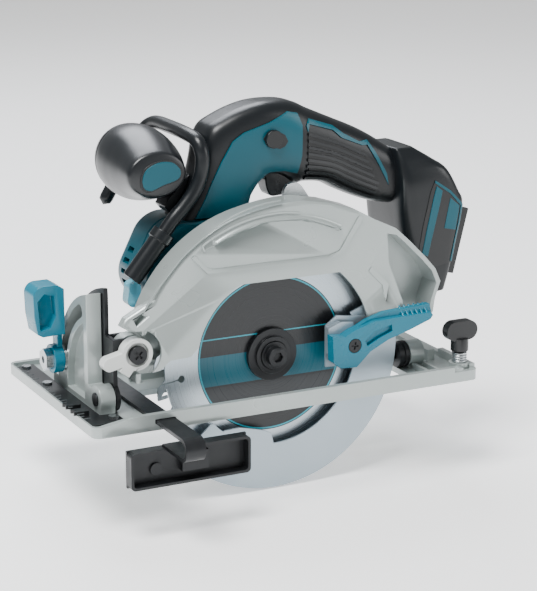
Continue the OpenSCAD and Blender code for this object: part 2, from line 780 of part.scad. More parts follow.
module spindle() color("#b9bcbe") head() difference() {
    union() {
        rod_y(bolt_r + 2, 0, 6);
        rod_y(spindle_r, shoulder_y + 0.02, gear_y[1] + 2);
        rod_y(spindle_tail_r, gear_y[1] + 1, rear_bearing[1] + 0.5);
    }
    rod_y(bolt_r + 0.05, -1, 15);
    rotate([0, lock_tilt, 0]) for (side = [-1, 1]) translate([0, 0, side * 5.6])
        block(-6, 6, lock_y[0] - 0.4, lock_y[1] + 0.4, -3, 3);
}

module spindle_bearings() color("#9aa0a4") head() {
    ring_y(big_bearing_r - run_fit, spindle_r + run_fit, front_bearing[0], front_bearing[1]);
    ring_y(small_bearing_r - run_fit, spindle_tail_r + run_fit, rear_bearing[0], rear_bearing[1]);
}

// A spur gear outline: teeth drawn as trapezia on a root disc
module spur(n, m, phase) {
    r = n * m / 2;
    step = 360 / n;
    circle(r - 1.3 * m, $fn = n);
    for (i = [0:n - 1]) rotate(phase + i * step) polygon([
        (r - 1.5 * m) * [cos(0.30 * step), -sin(0.30 * step)],
        (r + 0.9 * m) * [cos(0.11 * step), -sin(0.11 * step)],
        (r + 0.9 * m) * [cos(0.11 * step), sin(0.11 * step)],
        (r - 1.5 * m) * [cos(0.30 * step), sin(0.30 * step)]]);
}

module drive_gear() color("#8a8f93") head() difference() {
    along_y(gear_y[0], gear_y[1]) spur(gear_teeth, gear_module, motor_angle + 180 / gear_teeth);
    rod_y(spindle_r + 0.02, 0, 40);
}

// ---- gear housing and motor ----------------------------------------------------------------

gear_skin = 3;

// Outline round the two gears
module gear_profile(grow = 0) hull() {
    circle(gear_r + 5 + grow, $fn = 40);
    translate([motor_x, motor_z]) circle(motor_r - 6 + grow, $fn = 40);
}

// Outline of the motor's body with its front lobe
module body_profile() hull() {
    translate([motor_x, motor_z]) circle(motor_r, $fn = 64);
    translate([-61, 50]) circle(18.5, $fn = 32);
    translate([-50, 68]) circle(20.3, $fn = 32);
    translate([-14, 73]) circle(15.3, $fn = 32);
}

module gear_housing() color("#b9bfbc") head() difference() {
    union() {
        along_y(case_back, cover_y[0]) gear_profile();
        along_y(case_back, case_back + 4) flange_outline();
        rod_y(snout_r, 2.6, case_back + 1);
    }
    along_y(front_bearing[1] + 1, cover_y[0] + 1) gear_profile(-gear_skin);
    rod_y(spindle_r + 1, 0, 20);
    rod_y(big_bearing_r, front_bearing[0] - 0.1, 20);
    ring_y(snout_r + 1, snout_r - 1, guard_far - guard_sheet - 1.5, guard_far - guard_sheet);
    ring_y(30, 24, case_back - 1, case_back + 5);
    for (a = case_screw_angles)
        rod_y(2.05, 0, case_back + 3.9, screw_ring * cos(a), screw_ring * sin(a));
    rotate([0, lock_tilt, 0]) block(0, 60, lock_y[0] - seat, lock_y[1] + seat,
        -lock_half - seat, lock_half + seat);
}

module gear_cover() color("#a4aaa8") head() difference() {
    along_y(cover_y[0], cover_y[1]) gear_profile();
    rod_y(small_bearing_r, rear_bearing[0] - 0.1, rear_bearing[1] + 0.1);
    rod_y(small_bearing_r - 1.5, rear_bearing[1], cover_y[1] + 1);
    rod_y(spindle_tail_r + 2, 30, 50);
    rod_y(bearing_r, rotor_front[0], cover_y[1] + 1, motor_x, motor_z);
    rod_y(bearing_r - 2, 30, 50, motor_x, motor_z);
}

// Spindle lock: a forked plate that slides over the flats of the spindle
lock_y = [30, 33];
lock_half = 6;
lock_tilt = 20;

module shaft_lock() color("#17191b") head() rotate([0, lock_tilt, 0]) difference() {
    union() {
        block(5.4, gear_r + 12, lock_y[0], lock_y[1], -lock_half, lock_half);
        block(gear_r + 10.5, gear_r + 13, lock_y[0] - 2, lock_y[1] + 2, -lock_half - 1, lock_half + 1);
    }
    block(0, 11.5, lock_y[0] - 1, lock_y[1] + 1, -2.75, 2.75);
}

module motor_pinion() color("#8a8f93") head() translate([motor_x, 0, motor_z]) difference() {
    along_y(gear_y[0] + 0.3, gear_y[1] + 1) spur(pinion_teeth, gear_module, motor_angle + 180);
    rod_y(shaft_r - 1.5 + 0.02, 0, 40);
}

module rotor() color("#7b6a55") head() translate([motor_x, 0, motor_z]) {
    rod_y(shaft_r - 1.5, gear_y[0] + 0.3, gear_y[1] + 2);
    rod_y(shaft_r, gear_y[1] + 1.5, rotor_rear[1] - 0.3);
    rod_y(rotor_d / 2, 64, 96);
}

module rotor_bearings() color("#9aa0a4") head() for (y = [rotor_front, rotor_rear])
    ring_y(bearing_r - run_fit, shaft_r + run_fit, y[0] + 0.1, y[1] - 0.1, motor_x, motor_z);

fan_y = [48, 57];
fan_r = 31;

module cooling_fan() color("#1d2023") head() translate([motor_x, 0, motor_z]) difference() {
    union() {
        rod_y(fan_r, fan_y[0], fan_y[0] + 1.6);
        rod_y(8, fan_y[0], fan_y[1]);
        for (i = [0:8]) rotate([0, i * 40, 0]) block(12, fan_r - 1, fan_y[0], fan_y[1], -0.8, 0.8);
    }
    rod_y(shaft_r + 0.02, 0, 80);
}

module stator() color("#a5632f") head() difference() {
    ring_y(stator_d / 2, rotor_d / 2 + 0.6, 62, 98, motor_x, motor_z);
    for (i = [0:5]) translate([motor_x, 0, motor_z]) rotate([0, i * 60, 0])
        block(rotor_d / 2 + 2.5, stator_d / 2 - 3, 61, 66, -4, 4);
}

vent_z = [40, 47, 54, 61];

module motor_housing() color("#0a8a96") head() difference() {
    union() {
        along_y(16, cover_y[1]) difference() {
            body_profile();
            gear_profile(seat);
        }
        along_y(cover_y[1], motor_end) body_profile();
    }
    rod_y(fan_r + 2, cover_y[1] - 1, fan_y[1] + 2, motor_x, motor_z);
    rod_y(stator_d / 2 - 2, fan_y[1], 63, motor_x, motor_z);
    rod_y(stator_d / 2 + seat / 2, 61.8, motor_end + 1, motor_x, motor_z);
    for (z = vent_z) block(-90, motor_x - 20, 50, 56, z, z + 3);
    for (z = vent_z) block(motor_x + 20, 60, 50, 56, z - 30, z - 27);
    along_y(tail_y, motor_end + 1) difference() {
        translate([-100, -40]) square([160, 160]);
        translate([motor_x, motor_z]) circle(motor_r - 0.5, $fn = 72);
    }
    slanted_rod(tube_r + 1.2 + seat, -2, tube_length + 12);
}

tail_y = 72;

module motor_end_cap() color("#0a8a96") head() translate([motor_x, 0, motor_z]) difference() {
    translate([0, cap_end, 0]) rotate([90, 0, 0]) rotate_extrude() polygon(concat([[0, 0]],
        arc(8, -90, 0, 6, [motor_r - 9, 8]), [[motor_r - 1, cap_end - motor_end - seat],
        [0, cap_end - motor_end - seat]]));
    rod_y(bearing_r, motor_end - 1, rotor_rear[1]);
    rod_y(shaft_r + 2, motor_end - 1, rotor_rear[1] + 2);
    ring_y(motor_r - 5, bearing_r + 4, motor_end - 1, cap_end - 3);
    for (i = [0:9]) rotate([0, i * 36, 0]) block(19, 31, cap_end - 4, cap_end + 1, -1.5, 1.5);
}

// ---- handle --------------------------------------------------------------------------------

saddle_z = 88.6;

module grip_outline() polygon([[-52, saddle_z], [-46, 97], [-40, 106], [-37, 116], [-34.5, 127],
    [-33, 136], [-31.5, 142], [-27, 147.5], [-19, 151.8], [-7, 156.5], [7, 160], [23, 160], [34, 158], [44, 152.5],
    [62, 145], [85, 134], [101, 125], [112, 117], [112, 82], [102, 83], [82, 89], [63, 97], [48, 105],
    [41, 104], [37, 100.5], [33, 104], [22, 111], [12, 111], [6, 108], [0, 101], [-3, saddle_z]]);

module foot_outline() polygon([[103, 121], [112, 124], [122, 120], [140, 108], [143, 97], [156.5, 86],
    [143, 27], [135, 22], [119, 21], [104, 62], [100, 82], [102, 100]]);

// One half of the handle and foot: side -1 is the blade side, +1 the motor side
module handle_half(side) {
    y_mid = grip_y;
    grip_edge = grip_width / 2;
    foot_edge = foot_width / 2;
    translate([0, y_mid, 0]) mirror([0, side < 0 ? 1 : 0, 0]) difference() {
        union() {
            along_y(0, grip_edge - 3) grip_outline();
            along_y(grip_edge - 3, grip_edge) offset(delta = -3) grip_outline();
            along_y(0, foot_edge - 4) foot_outline();
            along_y(foot_edge - 4, foot_edge) offset(delta = -3.5) foot_outline();
        }
        along_y(-1, grip_edge - 4.5) offset(delta = -shell_wall) grip_outline();
        along_y(-1, foot_edge - 5.5) offset(delta = -shell_wall) foot_outline();
        block(96, 112, -1, grip_edge - 4, 90, 112);
        block(8, 34, -1, trigger_half + 0.3, 96, 114.5);
        rod_y(button_r + run_fit, -1, 40, button_x, button_z);
        translate([150, -1, 57]) rotate([0, 14, 0]) block(-6, 12, -1, rail_half + 1 + seat, -26, 24);
    }
}

rail_half = 24;
trigger_half = 6.7;

module handle_left_shell() color("#26292c") head() handle_half(-1);

module handle_right_shell() color("#26292c") head() handle_half(1);

module side_cover_outline() polygon([[-44, saddle_z + 1], [-36, 101], [-31, 111], [-15, 138], [-9, 142],
    [10, 147], [24, 153.5], [31, 152], [34, 144], [33, 124], [31, 110], [22, 114], [12, 114], [3, 109],
    [-3, 101], [-6, saddle_z + 1]]);

module side_cover(side) translate([0, grip_y, 0]) mirror([0, side < 0 ? 1 : 0, 0])
    along_y(grip_width / 2, grip_width / 2 + 1.6) difference() {
        side_cover_outline();
        translate([button_x, button_z]) circle(button_r + 0.8);
    }

module left_side_cover() color("#0a8a96") head() side_cover(-1);

module right_side_cover() color("#0a8a96") head() side_cover(1);

module grip_pads() color("#1d2023") head() for (side = [-1, 1])
    translate([0, grip_y, 0]) mirror([0, side < 0 ? 1 : 0, 0])
        along_y(grip_width / 2, grip_width / 2 + 1.4) polygon([[40, 112], [40, 137], [61, 134],
            [70, 126], [91, 116], [94, 119], [98, 113], [98, 97], [93, 91.5], [62, 100.5], [50, 108]]);

module trigger() color("#2f3336") head() along_y(grip_y - trigger_half, grip_y + trigger_half) polygon(concat(
    [[9.5, 117], [9.5, 109]], arc(20, 176, 215, 6, [33, 108]),
    [[19, 96], [29, 96.5], [32.6, 101], [32.6, 117]]));

module trigger_switch() color("#3a3d40") head() {
    switch_half = grip_width / 2 - 4.5 - seat;
    block(8.5, 34, grip_y - 9, grip_y + 9, 122.6, 129.5);
    block(-8, 6, grip_y - switch_half, grip_y + switch_half, 118, 128);
    block(5, 9, grip_y - 9, grip_y + 9, 122.6, 128);
}

module lock_off_button() color("#141617") head()
    rod_y(button_r, grip_near - 4.5, grip_far + 1.5, button_x, button_z);

module controller_board() color("#1f6b3a") head()
    along_y(grip_y - foot_width / 2 + 5.5 + seat, grip_y + foot_width / 2 - 5.5 - seat)
        polygon([[114, 104], [128, 100], [128, 98], [114, 102]]);

module terminal_block() color("#1a1c1e") head() translate([150, grip_y, 57]) rotate([0, 14, 0]) {
    block(-5.8, -1, -rail_half, rail_half, -24, 22);
    for (y = [-rail_half, rail_half - 4]) block(-2, 4, y, y + 4, -24, 22);
    for (y = [-12, -5, 4, 11]) block(-2, 3.5, y, y + 1.4, -10, 12);
}

// ---- front knob, hook and lamp -------------------------------------------------------------

knob_far = knob_near + knob_length;

// Half outline of the egg, radius against height from its near end
knob_half = [[0, 0], [0.56, 0], [0.68, 0.03], [0.80, 0.12], [0.90, 0.26], [0.97, 0.42], [1, 0.56],
    [0.98, 0.70], [0.90, 0.82], [0.74, 0.91], [0.50, 0.97], [0.24, 0.995], [0, 1]];

module front_knob() color("#26292c") head() difference() {
    translate([knob_x, knob_near, knob_z]) rotate([-90, 0, 0]) rotate_extrude($fn = 64)
        polygon([for (p = knob_half) [knob_r * p[0], knob_length * p[1]]]);
    rod_y(11.2, knob_near - 1, knob_near + 1.6, knob_x, knob_z);
}

module knob_badge() color("#0a8a96") head()
    rod_y(11, knob_near + 0.1, knob_near + 1.6, knob_x, knob_z);

module knob_bracket() color("#26292c") head() difference() {
    along_y(40, 56) polygon([[-56, 95], [-52, 90], [-50.9, 91.5], [-46.3, 97.3], [-40.3, 106.3],
        [-37.4, 115], [-42, 111.5], [-48, 107]]);
    rod_y(knob_r + seat, 30, 70, knob_x, knob_z);
}

// Along the holder's axis: s is the distance from its foot
function on_tube(s) = [tube_foot[0] + s * cos(tube_slope), hook_y, tube_foot[1] + s * sin(tube_slope)];

tube_length = norm(tube_top - tube_foot);

module slanted_rod(r, s0, s1) translate(on_tube(s0)) rotate([0, 90 - tube_slope, 0])
    cylinder(r = r, h = s1 - s0);

module hook_holder() color("#2f3336") head() difference() {
    union() {
        slanted_rod(tube_r, 0, tube_length - 6);
        slanted_rod(tube_r + 1.2, tube_length - 6.5, tube_length);
    }
    slanted_rod(hook_r + 2 * run_fit, 3, tube_length + 1);
}

hook_path = [on_tube(4), on_tube(tube_length + 10), [-53.5, hook_y, 96.5], [-46, hook_y, 107],
    [-41.5, hook_y, 118], [-40, hook_y + 0.1, 129], [-40.6, hook_y + 2, 136], [-41.3, hook_y + 8, 140.5],
    [-41.2, 40, 142], [-39.5, 70, 141.5], [-38.8, 88, 140.8], [-39.5, 97, 139], [-42, 102, 135.5],
    [-46, 103.7, 129.5], [-57, 103.7, 112], [-73, 103.7, 85.5]];
hook_sides = 16;

// Direction of the path at point i, and a round section across it
function along(path, i) = let(n = len(path) - 1, d = path[min(i + 1, n)] - path[max(i - 1, 0)])
    d / norm(d);
function across(d) = let(u = cross(d, [0.62, 0.3, -0.72])) u / norm(u);
function section(path, i, r) = let(d = along(path, i), u = across(d), v = cross(d, u))
    [for (k = [0:hook_sides - 1]) path[i]
        + r * (cos(360 * k / hook_sides) * u + sin(360 * k / hook_sides) * v)];

module hook() color("#26292c") head() {
    rings = len(hook_path);
    points = [for (i = [0:rings - 1]) each section(hook_path, i, hook_r)];
    sides = [for (i = [0:rings - 2], k = [0:hook_sides - 1]) let(m = (k + 1) % hook_sides)
        [i * hook_sides + m, i * hook_sides + k, (i + 1) * hook_sides + k, (i + 1) * hook_sides + m]];
    near_end = [[for (k = [0:hook_sides - 1]) k]];
    far_end = [[for (k = [hook_sides - 1:-1:0]) (rings - 1) * hook_sides + k]];
    polyhedron(points, concat(near_end, sides, far_end));
}

module led_lens() color("#5cb7d6") head() along_y(20, 30) capsule([-85.4, 48.5], [-86.4, 40.5], 4.2);

// ---- rip fence and rear screw --------------------------------------------------------------

box_x = [-86, -68];

module rip_fence() color("#1d2023") head() {
    z_low = bar_z + bar_thickness - 2 * bend_r;
    block(bar_x, bar_x + bar_width, bend_y, bar_inner, bar_z, bar_z + bar_thickness);
    along_x(bar_x, bar_x + bar_width) translate([bend_y, bar_z + bar_thickness - bend_r])
        difference() {
            circle(bend_r);
            circle(bend_r - bar_thickness);
            translate([0, -20]) square([20, 40]);
        }
    block(bar_x, bar_x + bar_width, bend_y, fence_y - 1, z_low, z_low + bar_thickness);
    fence_pan();
}

module fence_pan() {
    x1 = fence_x + fence_length;
    z0 = fence_top - fence_height;
    block(fence_x, x1, fence_y - 2, fence_y, z0, fence_top);
    difference() {
        along_y(fence_y - fence_flange, fence_y) round_rect(fence_x, x1, z0, fence_top, 3);
        along_y(fence_y - fence_flange - 1, fence_y + 1)
            round_rect(fence_x + 1.8, x1 - 1.8, z0 + 1.8, fence_top - 1.8, 2);
        block(bar_x - 1, bar_x + bar_width + 1, -90, fence_y - 1, fence_top - 3, fence_top + 4);
    }
    block(box_x[0], box_x[1], fence_y - 7, fence_y - 1, z0 + 7, fence_top - 5);
    rod_y(4, fence_y - 3.5, fence_y - 1, fence_x + 19, z0 + 10);
}

// Thumb screw with a flat oval head
module thumb_screw() color("#17191b") head() {
    rod_z(3, sole_z + 1, deck_z + 20, thumb_x, thumb_y);
    rod_z(6, deck_z + 14, deck_z + 22.5, thumb_x, thumb_y);
    translate([0, thumb_y, 0]) along_y(-3.5, 3.5)
        capsule([thumb_x - 5.2, deck_z + 28], [thumb_x + 5.2, deck_z + 28], 6.6);
}

module thumb_screw_spring() color("#8d9194") head() for (i = [0:3])
    translate([thumb_x, thumb_y, deck_z + 7 + i * 1.75]) rotate_extrude()
        translate([4.3, 0]) circle(0.88, $fn = 16);

// ---- assembly ------------------------------------------------------------------------------

base_plate();
ruler_plate();
ruler_screws();
bevel_quadrant();
quadrant_screws();
bevel_pivot_pin();
rear_pivot_screw();
front_bracket();
bevel_bolt();
bevel_lever();
depth_pivot_pin();
positive_stopper();
depth_guide();
rear_bracket();
depth_stud();
depth_lever();
blade_case();
case_screws();
lower_guard();
guard_ring();
guard_spring();
guard_bracket();
guard_lever();
guard_lever_screw();
blade();
outer_flange();
inner_flange();
blade_bolt();
spindle();
spindle_bearings();
drive_gear();
gear_housing();
gear_cover();
motor_pinion();
rotor();
rotor_bearings();
cooling_fan();
stator();
motor_housing();
motor_end_cap();
shaft_lock();
handle_left_shell();
handle_right_shell();
left_side_cover();
right_side_cover();
grip_pads();
trigger();
trigger_switch();
lock_off_button();
controller_board();
terminal_block();
front_knob();
knob_badge();
knob_bracket();
hook_holder();
hook();
led_lens();
rip_fence();
thumb_screw();
thumb_screw_spring();
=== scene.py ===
# %% [markdown]
# # A cordless circular saw, dressed part by part
# The CAD model of this saw already gives every part its size, its place and the way it moves.
# This lesson dresses that model for a picture. Three ways of working are used again and again:
#
# * a CAD part whose shape is right is kept, and only gets a finish;
# * a CAD part whose shape is right but too sharp is copied, and its edges are rounded as a mould
#   or a casting rounds them;
# * a part with flowing curves, such as the handle, is worked out afresh as a surface: a formula
#   of two numbers, computed for a whole grid at once.

# %% The frame
import json

import bmesh
import bpy
import numpy as np
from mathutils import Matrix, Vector


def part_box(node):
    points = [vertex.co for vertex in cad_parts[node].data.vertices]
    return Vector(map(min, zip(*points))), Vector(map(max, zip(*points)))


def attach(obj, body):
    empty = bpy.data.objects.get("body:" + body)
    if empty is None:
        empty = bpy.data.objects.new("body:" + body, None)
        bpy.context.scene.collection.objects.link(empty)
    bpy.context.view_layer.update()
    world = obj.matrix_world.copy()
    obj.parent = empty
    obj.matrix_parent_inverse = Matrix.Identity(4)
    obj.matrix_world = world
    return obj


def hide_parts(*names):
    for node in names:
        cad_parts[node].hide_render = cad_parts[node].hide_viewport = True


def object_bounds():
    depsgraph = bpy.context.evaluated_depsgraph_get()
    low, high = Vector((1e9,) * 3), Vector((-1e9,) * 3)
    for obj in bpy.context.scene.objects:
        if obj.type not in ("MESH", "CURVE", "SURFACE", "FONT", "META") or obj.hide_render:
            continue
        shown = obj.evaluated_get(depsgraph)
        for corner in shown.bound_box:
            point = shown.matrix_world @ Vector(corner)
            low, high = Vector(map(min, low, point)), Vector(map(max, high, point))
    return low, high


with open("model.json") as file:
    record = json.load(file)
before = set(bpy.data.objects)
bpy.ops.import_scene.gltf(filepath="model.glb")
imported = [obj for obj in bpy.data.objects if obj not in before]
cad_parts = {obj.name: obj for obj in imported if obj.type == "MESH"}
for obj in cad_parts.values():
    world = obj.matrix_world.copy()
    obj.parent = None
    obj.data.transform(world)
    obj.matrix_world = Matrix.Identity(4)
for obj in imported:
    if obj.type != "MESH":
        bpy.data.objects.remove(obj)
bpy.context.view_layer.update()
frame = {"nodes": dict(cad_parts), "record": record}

# %% [markdown]
# ## Where things are
# The drawings of a saw are made about the blade's spindle, so the numbers below are millimetres
# from the spindle's centre: x to the rear, y away from the blade's side, z up. One function moves
# them to the frame that all parts share, in metres.

# %% Places
SPINDLE = np.array([0.0, -41.0, 27.0])
GRIP_MID = 39.0
MOTOR = np.array([-10.96, 22.47])


def place(points):
    """Millimetres about the spindle to metres in the shared frame."""
    return (np.asarray(points, dtype=float) + SPINDLE) / 1000


# %% [markdown]
# ## Colours
# Paint and plastic makers name colours in sRGB, the way a screen shows them. A shader works with
# light, so each hex value is turned to linear light by the standard curve: a straight part near
# black and a power of 2.4 above it.

# %% Colour
def linear(hex_value):
    """sRGB hex to linear light, with the alpha 1 that colour sockets want."""
    c = np.array([int(hex_value[i:i + 2], 16) for i in (1, 3, 5)]) / 255
    c = np.where(c <= 0.04045, c / 12.92, ((c + 0.055) / 1.055) ** 2.4)
    return (*c.tolist(), 1.0)


# %% [markdown]
# ## One way to build a node tree
# A finish is a small graph. This function adds any node, sets its properties and plain values, and
# links what is handed to it as a socket. A value that is a socket is linked, and anything else is
# set.

# %% Node helper
def add(tree, kind, settings=None, **inputs):
    """Adds a node. settings are its properties, inputs its sockets by name with _ for a space."""
    node = tree.nodes.new(kind)
    for key, value in (settings or {}).items():
        setattr(node, key, value)
    for key, value in inputs.items():
        if key[0] == "i" and key[1:].isdigit():
            socket = node.inputs[int(key[1:])]
        else:
            socket = node.inputs[key.replace("_", " ")]
        if isinstance(value, bpy.types.NodeSocket):
            tree.links.new(value, socket)
        else:
            socket.default_value = value
    return node


def start_finish(name, colour, **values):
    """A new material with a Principled shader. colour is its plain colour, values its sockets."""
    material = bpy.data.materials.new(name)
    material.use_nodes = True
    material.diffuse_color = linear(colour)
    tree = material.node_tree
    shader = tree.nodes["Principled BSDF"]
    shader.inputs["Base Color"].default_value = linear(colour)
    for key, value in values.items():
        shader.inputs[key.replace("_", " ")].default_value = value
    return material, tree, shader


def per_mm(size):
    """The texture scale whose features are about this many millimetres across."""
    return 1000 / size


# %% [markdown]
# ## Finishes with a grain
# Moulded plastic, paint on a casting and coated steel differ in the size and height of their
# grain and in how evenly they shine. One function gives all of them: a fine noise drives the bump,
# and a broad noise makes the colour and the shine wander a little, as handling does. The finest
# real grain, about 0.1 mm, wouldn't show, so it is drawn at 0.5 mm or more.

# %% Grained finish
def grained(name, colour, other, rough, spread=0.06, grain=0.6, height=0.02, patch=18, **values):
    """A finish with a bump of size grain (mm) and height (mm), and patches between two colours."""
    material, tree, shader = start_finish(name, colour, **values)
    spot = add(tree, "ShaderNodeTexCoord").outputs["Object"]
    broad = add(tree, "ShaderNodeTexNoise", Vector=spot, Scale=per_mm(patch), Detail=3.0)
    fine = add(tree, "ShaderNodeTexNoise", Vector=spot, Scale=per_mm(grain), Detail=2.0)
    mix = add(tree, "ShaderNodeMix", {"data_type": "RGBA"}, i0=broad.outputs["Fac"],
              i6=linear(colour), i7=linear(other))
    tree.links.new(mix.outputs[2], shader.inputs["Base Color"])
    shine = add(tree, "ShaderNodeMapRange", Value=broad.outputs["Fac"], From_Min=0.3, From_Max=0.7,
                To_Min=rough - spread, To_Max=rough + spread)
    tree.links.new(shine.outputs["Result"], shader.inputs["Roughness"])
    bump = add(tree, "ShaderNodeBump", Strength=0.6, Distance=height / 1000,
               Height=fine.outputs["Fac"])
    tree.links.new(bump.outputs["Normal"], shader.inputs["Normal"])
    return material


# Satin paint on a magnesium die casting: pale grey with a touch of green, a faint orange peel
cast_paint = grained("cast_magnesium_satin_paint", "#a7afad", "#9ea7a5", 0.3, 0.04, 1.6, 0.03,
                     60, Metallic=0.35, Coat_Weight=0.4, Coat_Roughness=0.22)
# The same casting paint, greyer and duller: painted shade for the seam line along the rim
seam_shade_paint = grained("cast_magnesium_paint_painted_seam_shade", "#9aa3a1", "#8c9593", 0.5, 0.05, 1.2, 0.05, 30,
                      Metallic=0.2)
# Moulded nylon, coloured through: satin, with a fine spark texture
teal_nylon = grained("moulded_nylon_teal", "#00505e", "#004a57", 0.32, 0.05, 0.7, 0.02, 40,
                     Specular_IOR_Level=0.35)
# The levers are the same nylon in a brighter batch with a polished mould
teal_bright = grained("moulded_nylon_bright_teal", "#007189", "#00677e", 0.26, 0.04, 1.0, 0.01, 40,
                      Specular_IOR_Level=0.4)
black_nylon = grained("moulded_nylon_black", "#0e1012", "#0b0d0f", 0.36, 0.06, 0.6, 0.03, 30)
grey_nylon = grained("moulded_nylon_dark_grey", "#13171a", "#0f1215", 0.32, 0.05, 0.6, 0.02, 30,
                     Specular_IOR_Level=0.4)
# Soft rubber overmould: darker, duller, with a finer and deeper grain
soft_rubber = grained("overmoulded_rubber_black", "#0d0f11", "#0a0c0e", 0.46, 0.06, 0.7, 0.06, 25)
# Charcoal rubber for the knob; on the grip's ribs its lighter tone is a painted ridge highlight
knob_rubber_and_rib_highlight = grained("overmoulded_rubber_charcoal_and_painted_rib_highlight", "#171a1d", "#131619", 0.32, 0.05, 0.8, 0.03,
                      25)
# Steel with a black electro coat: smooth with a dry sheen
black_coat = grained("black_coated_steel", "#17191b", "#1e2023", 0.38, 0.07, 1.0, 0.02, 14,
                     Metallic=0.35)
acetal_white = grained("moulded_acetal_pale_grey", "#d9dcd9", "#cfd3d0", 0.35, 0.04, 1.0, 0.01, 30)
board_green = grained("circuit_board_lacquer", "#1c6b3c", "#185c34", 0.3, 0.03, 1.2, 0.01, 10)
copper_wire = grained("enamelled_copper_winding", "#a4602c", "#8d4f24", 0.35, 0.06, 0.5, 0.2, 5,
                      Metallic=1.0)


# %% [markdown]
# ## Bare metals
# A machined or rolled metal shows fine parallel lines left by the tool. A noise squeezed in one
# direction gives them; on a turned part they would be rings, which this function doesn't make.
# Real tool marks are 0.05 mm apart; here they are 0.4 mm so that they show.

# %% Metal finish
def brushed(name, colour, rough, along="x", line=0.4, height=0.01, **values):
    """A metal whose fine lines run along one axis: the noise is squeezed 30 times across it."""
    material, tree, shader = start_finish(name, colour, Metallic=1.0, **values)
    spot = add(tree, "ShaderNodeTexCoord").outputs["Object"]
    squeeze = {"x": (1, 30, 30), "y": (30, 1, 30), "z": (30, 30, 1)}[along]
    lines = add(tree, "ShaderNodeMapping", Vector=spot, Scale=squeeze)
    fine = add(tree, "ShaderNodeTexNoise", Vector=lines.outputs["Vector"],
               Scale=per_mm(line * 30), Detail=3.0)
    shine = add(tree, "ShaderNodeMapRange", Value=fine.outputs["Fac"], From_Min=0.3, From_Max=0.7,
                To_Min=rough - 0.06, To_Max=rough + 0.08)
    tree.links.new(shine.outputs["Result"], shader.inputs["Roughness"])
    bump = add(tree, "ShaderNodeBump", Strength=0.5, Distance=height / 1000,
               Height=fine.outputs["Fac"])
    tree.links.new(bump.outputs["Normal"], shader.inputs["Normal"])
    return material


zinc_steel = brushed("zinc_plated_steel", "#b9bdbf", 0.28)
guard_alloy = grained("pressed_aluminium_satin_lacquer", "#a4b0b8", "#98a6af", 0.34, 0.05, 1.4,
                      0.02, 50, Metallic=0.6, Coat_Weight=0.3, Coat_Roughness=0.22)
cast_alloy = grained("die_cast_aluminium_raw", "#a9adac", "#9b9f9e", 0.45, 0.06, 0.9, 0.08, 20,
                     Metallic=0.9)


# %% [markdown]
# ## The saw blade's two surfaces
# A blade is a ground steel disc with a printed label that stops well short of the teeth. The
# grinding leaves arcs that run round the disc, so distance from the centre feeds the noise. The
# print is a black disc with a thin teal edge, a broad teal band, a grey band and a thin line
# across it. It lies in the finish, not in the shape, because ink has no thickness to speak of.

# %% Blade finish
# Radii of the label and of its edge line, and heights of its bands above the spindle, all in mm
LABEL_R, EDGE_LINE_R = 52.0, (50.4, 51.4)
TEAL_BAND, THIN_LINE, GREY_BAND = (-17.0, 3.0), (14.0, 14.8), (-30.0, -18.5)


def blade_finish():
    """Ground steel with a printed label near the hub, chosen by distance from the hub."""
    material, tree, shader = start_finish("ground_steel_with_printed_label", "#aab4ba")
    spot = add(tree, "ShaderNodeTexCoord").outputs["Object"]
    hub = tuple((-SPINDLE / 1000).tolist())
    about_hub = add(tree, "ShaderNodeMapping", Vector=spot, Location=hub).outputs["Vector"]
    flat = add(tree, "ShaderNodeVectorMath", {"operation": "MULTIPLY"}, i0=about_hub,
               i1=(1000.0, 0.0, 1000.0)).outputs["Vector"]
    radius = add(tree, "ShaderNodeVectorMath", {"operation": "LENGTH"}, i0=flat).outputs["Value"]
    across = add(tree, "ShaderNodeSeparateXYZ", Vector=flat).outputs

    def between(value, low, high):
        """1 where value is between two millimetre marks, else 0."""
        above = add(tree, "ShaderNodeMath", {"operation": "GREATER_THAN"}, i0=value, i1=low)
        below = add(tree, "ShaderNodeMath", {"operation": "LESS_THAN"}, i0=value, i1=high)
        return add(tree, "ShaderNodeMath", {"operation": "MULTIPLY"}, i0=above.outputs[0],
                   i1=below.outputs[0]).outputs[0]

    label = between(radius, -1.0, LABEL_R)
    edge_ring = between(radius, *EDGE_LINE_R)
    band = between(across["Z"], *TEAL_BAND)
    rule = between(across["Z"], *THIN_LINE)
    plain = between(across["Z"], *GREY_BAND)
    ink = linear("#15181b")
    for part, colour in ((band, "#005666"), (plain, "#1d2226"), (rule, "#2a9fb2"),
                         (edge_ring, "#2a9fb2")):
        ink = add(tree, "ShaderNodeMix", {"data_type": "RGBA"}, i0=part, i6=ink,
                  i7=linear(colour)).outputs[2]
    arcs = add(tree, "ShaderNodeTexNoise", {"noise_dimensions": "1D"}, W=radius, Scale=2.2,
               Detail=3.0).outputs["Fac"]
    steel = add(tree, "ShaderNodeMix", {"data_type": "RGBA"}, i0=arcs, i6=linear("#9fabb3"),
                i7=linear("#c3ccd1")).outputs[2]
    colour = add(tree, "ShaderNodeMix", {"data_type": "RGBA"}, i0=label, i6=steel, i7=ink)
    tree.links.new(colour.outputs[2], shader.inputs["Base Color"])
    metal = add(tree, "ShaderNodeMath", {"operation": "SUBTRACT"}, i0=1.0, i1=label)
    tree.links.new(metal.outputs[0], shader.inputs["Metallic"])
    shine = add(tree, "ShaderNodeMapRange", Value=arcs, From_Min=0.3, From_Max=0.7, To_Min=0.26,
                To_Max=0.42)
    tree.links.new(shine.outputs["Result"], shader.inputs["Roughness"])
    bump = add(tree, "ShaderNodeBump", Strength=0.3, Distance=0.00002, Height=arcs)
    tree.links.new(bump.outputs["Normal"], shader.inputs["Normal"])
    return material


blade_steel = blade_finish()
lamp_lens = grained("clear_lens_cyan", "#7fd4ea", "#6fc9e0", 0.12, 0.02, 2.0, 0.005, 30,
                    Transmission_Weight=0.4)
print(len(bpy.data.materials), "finishes")

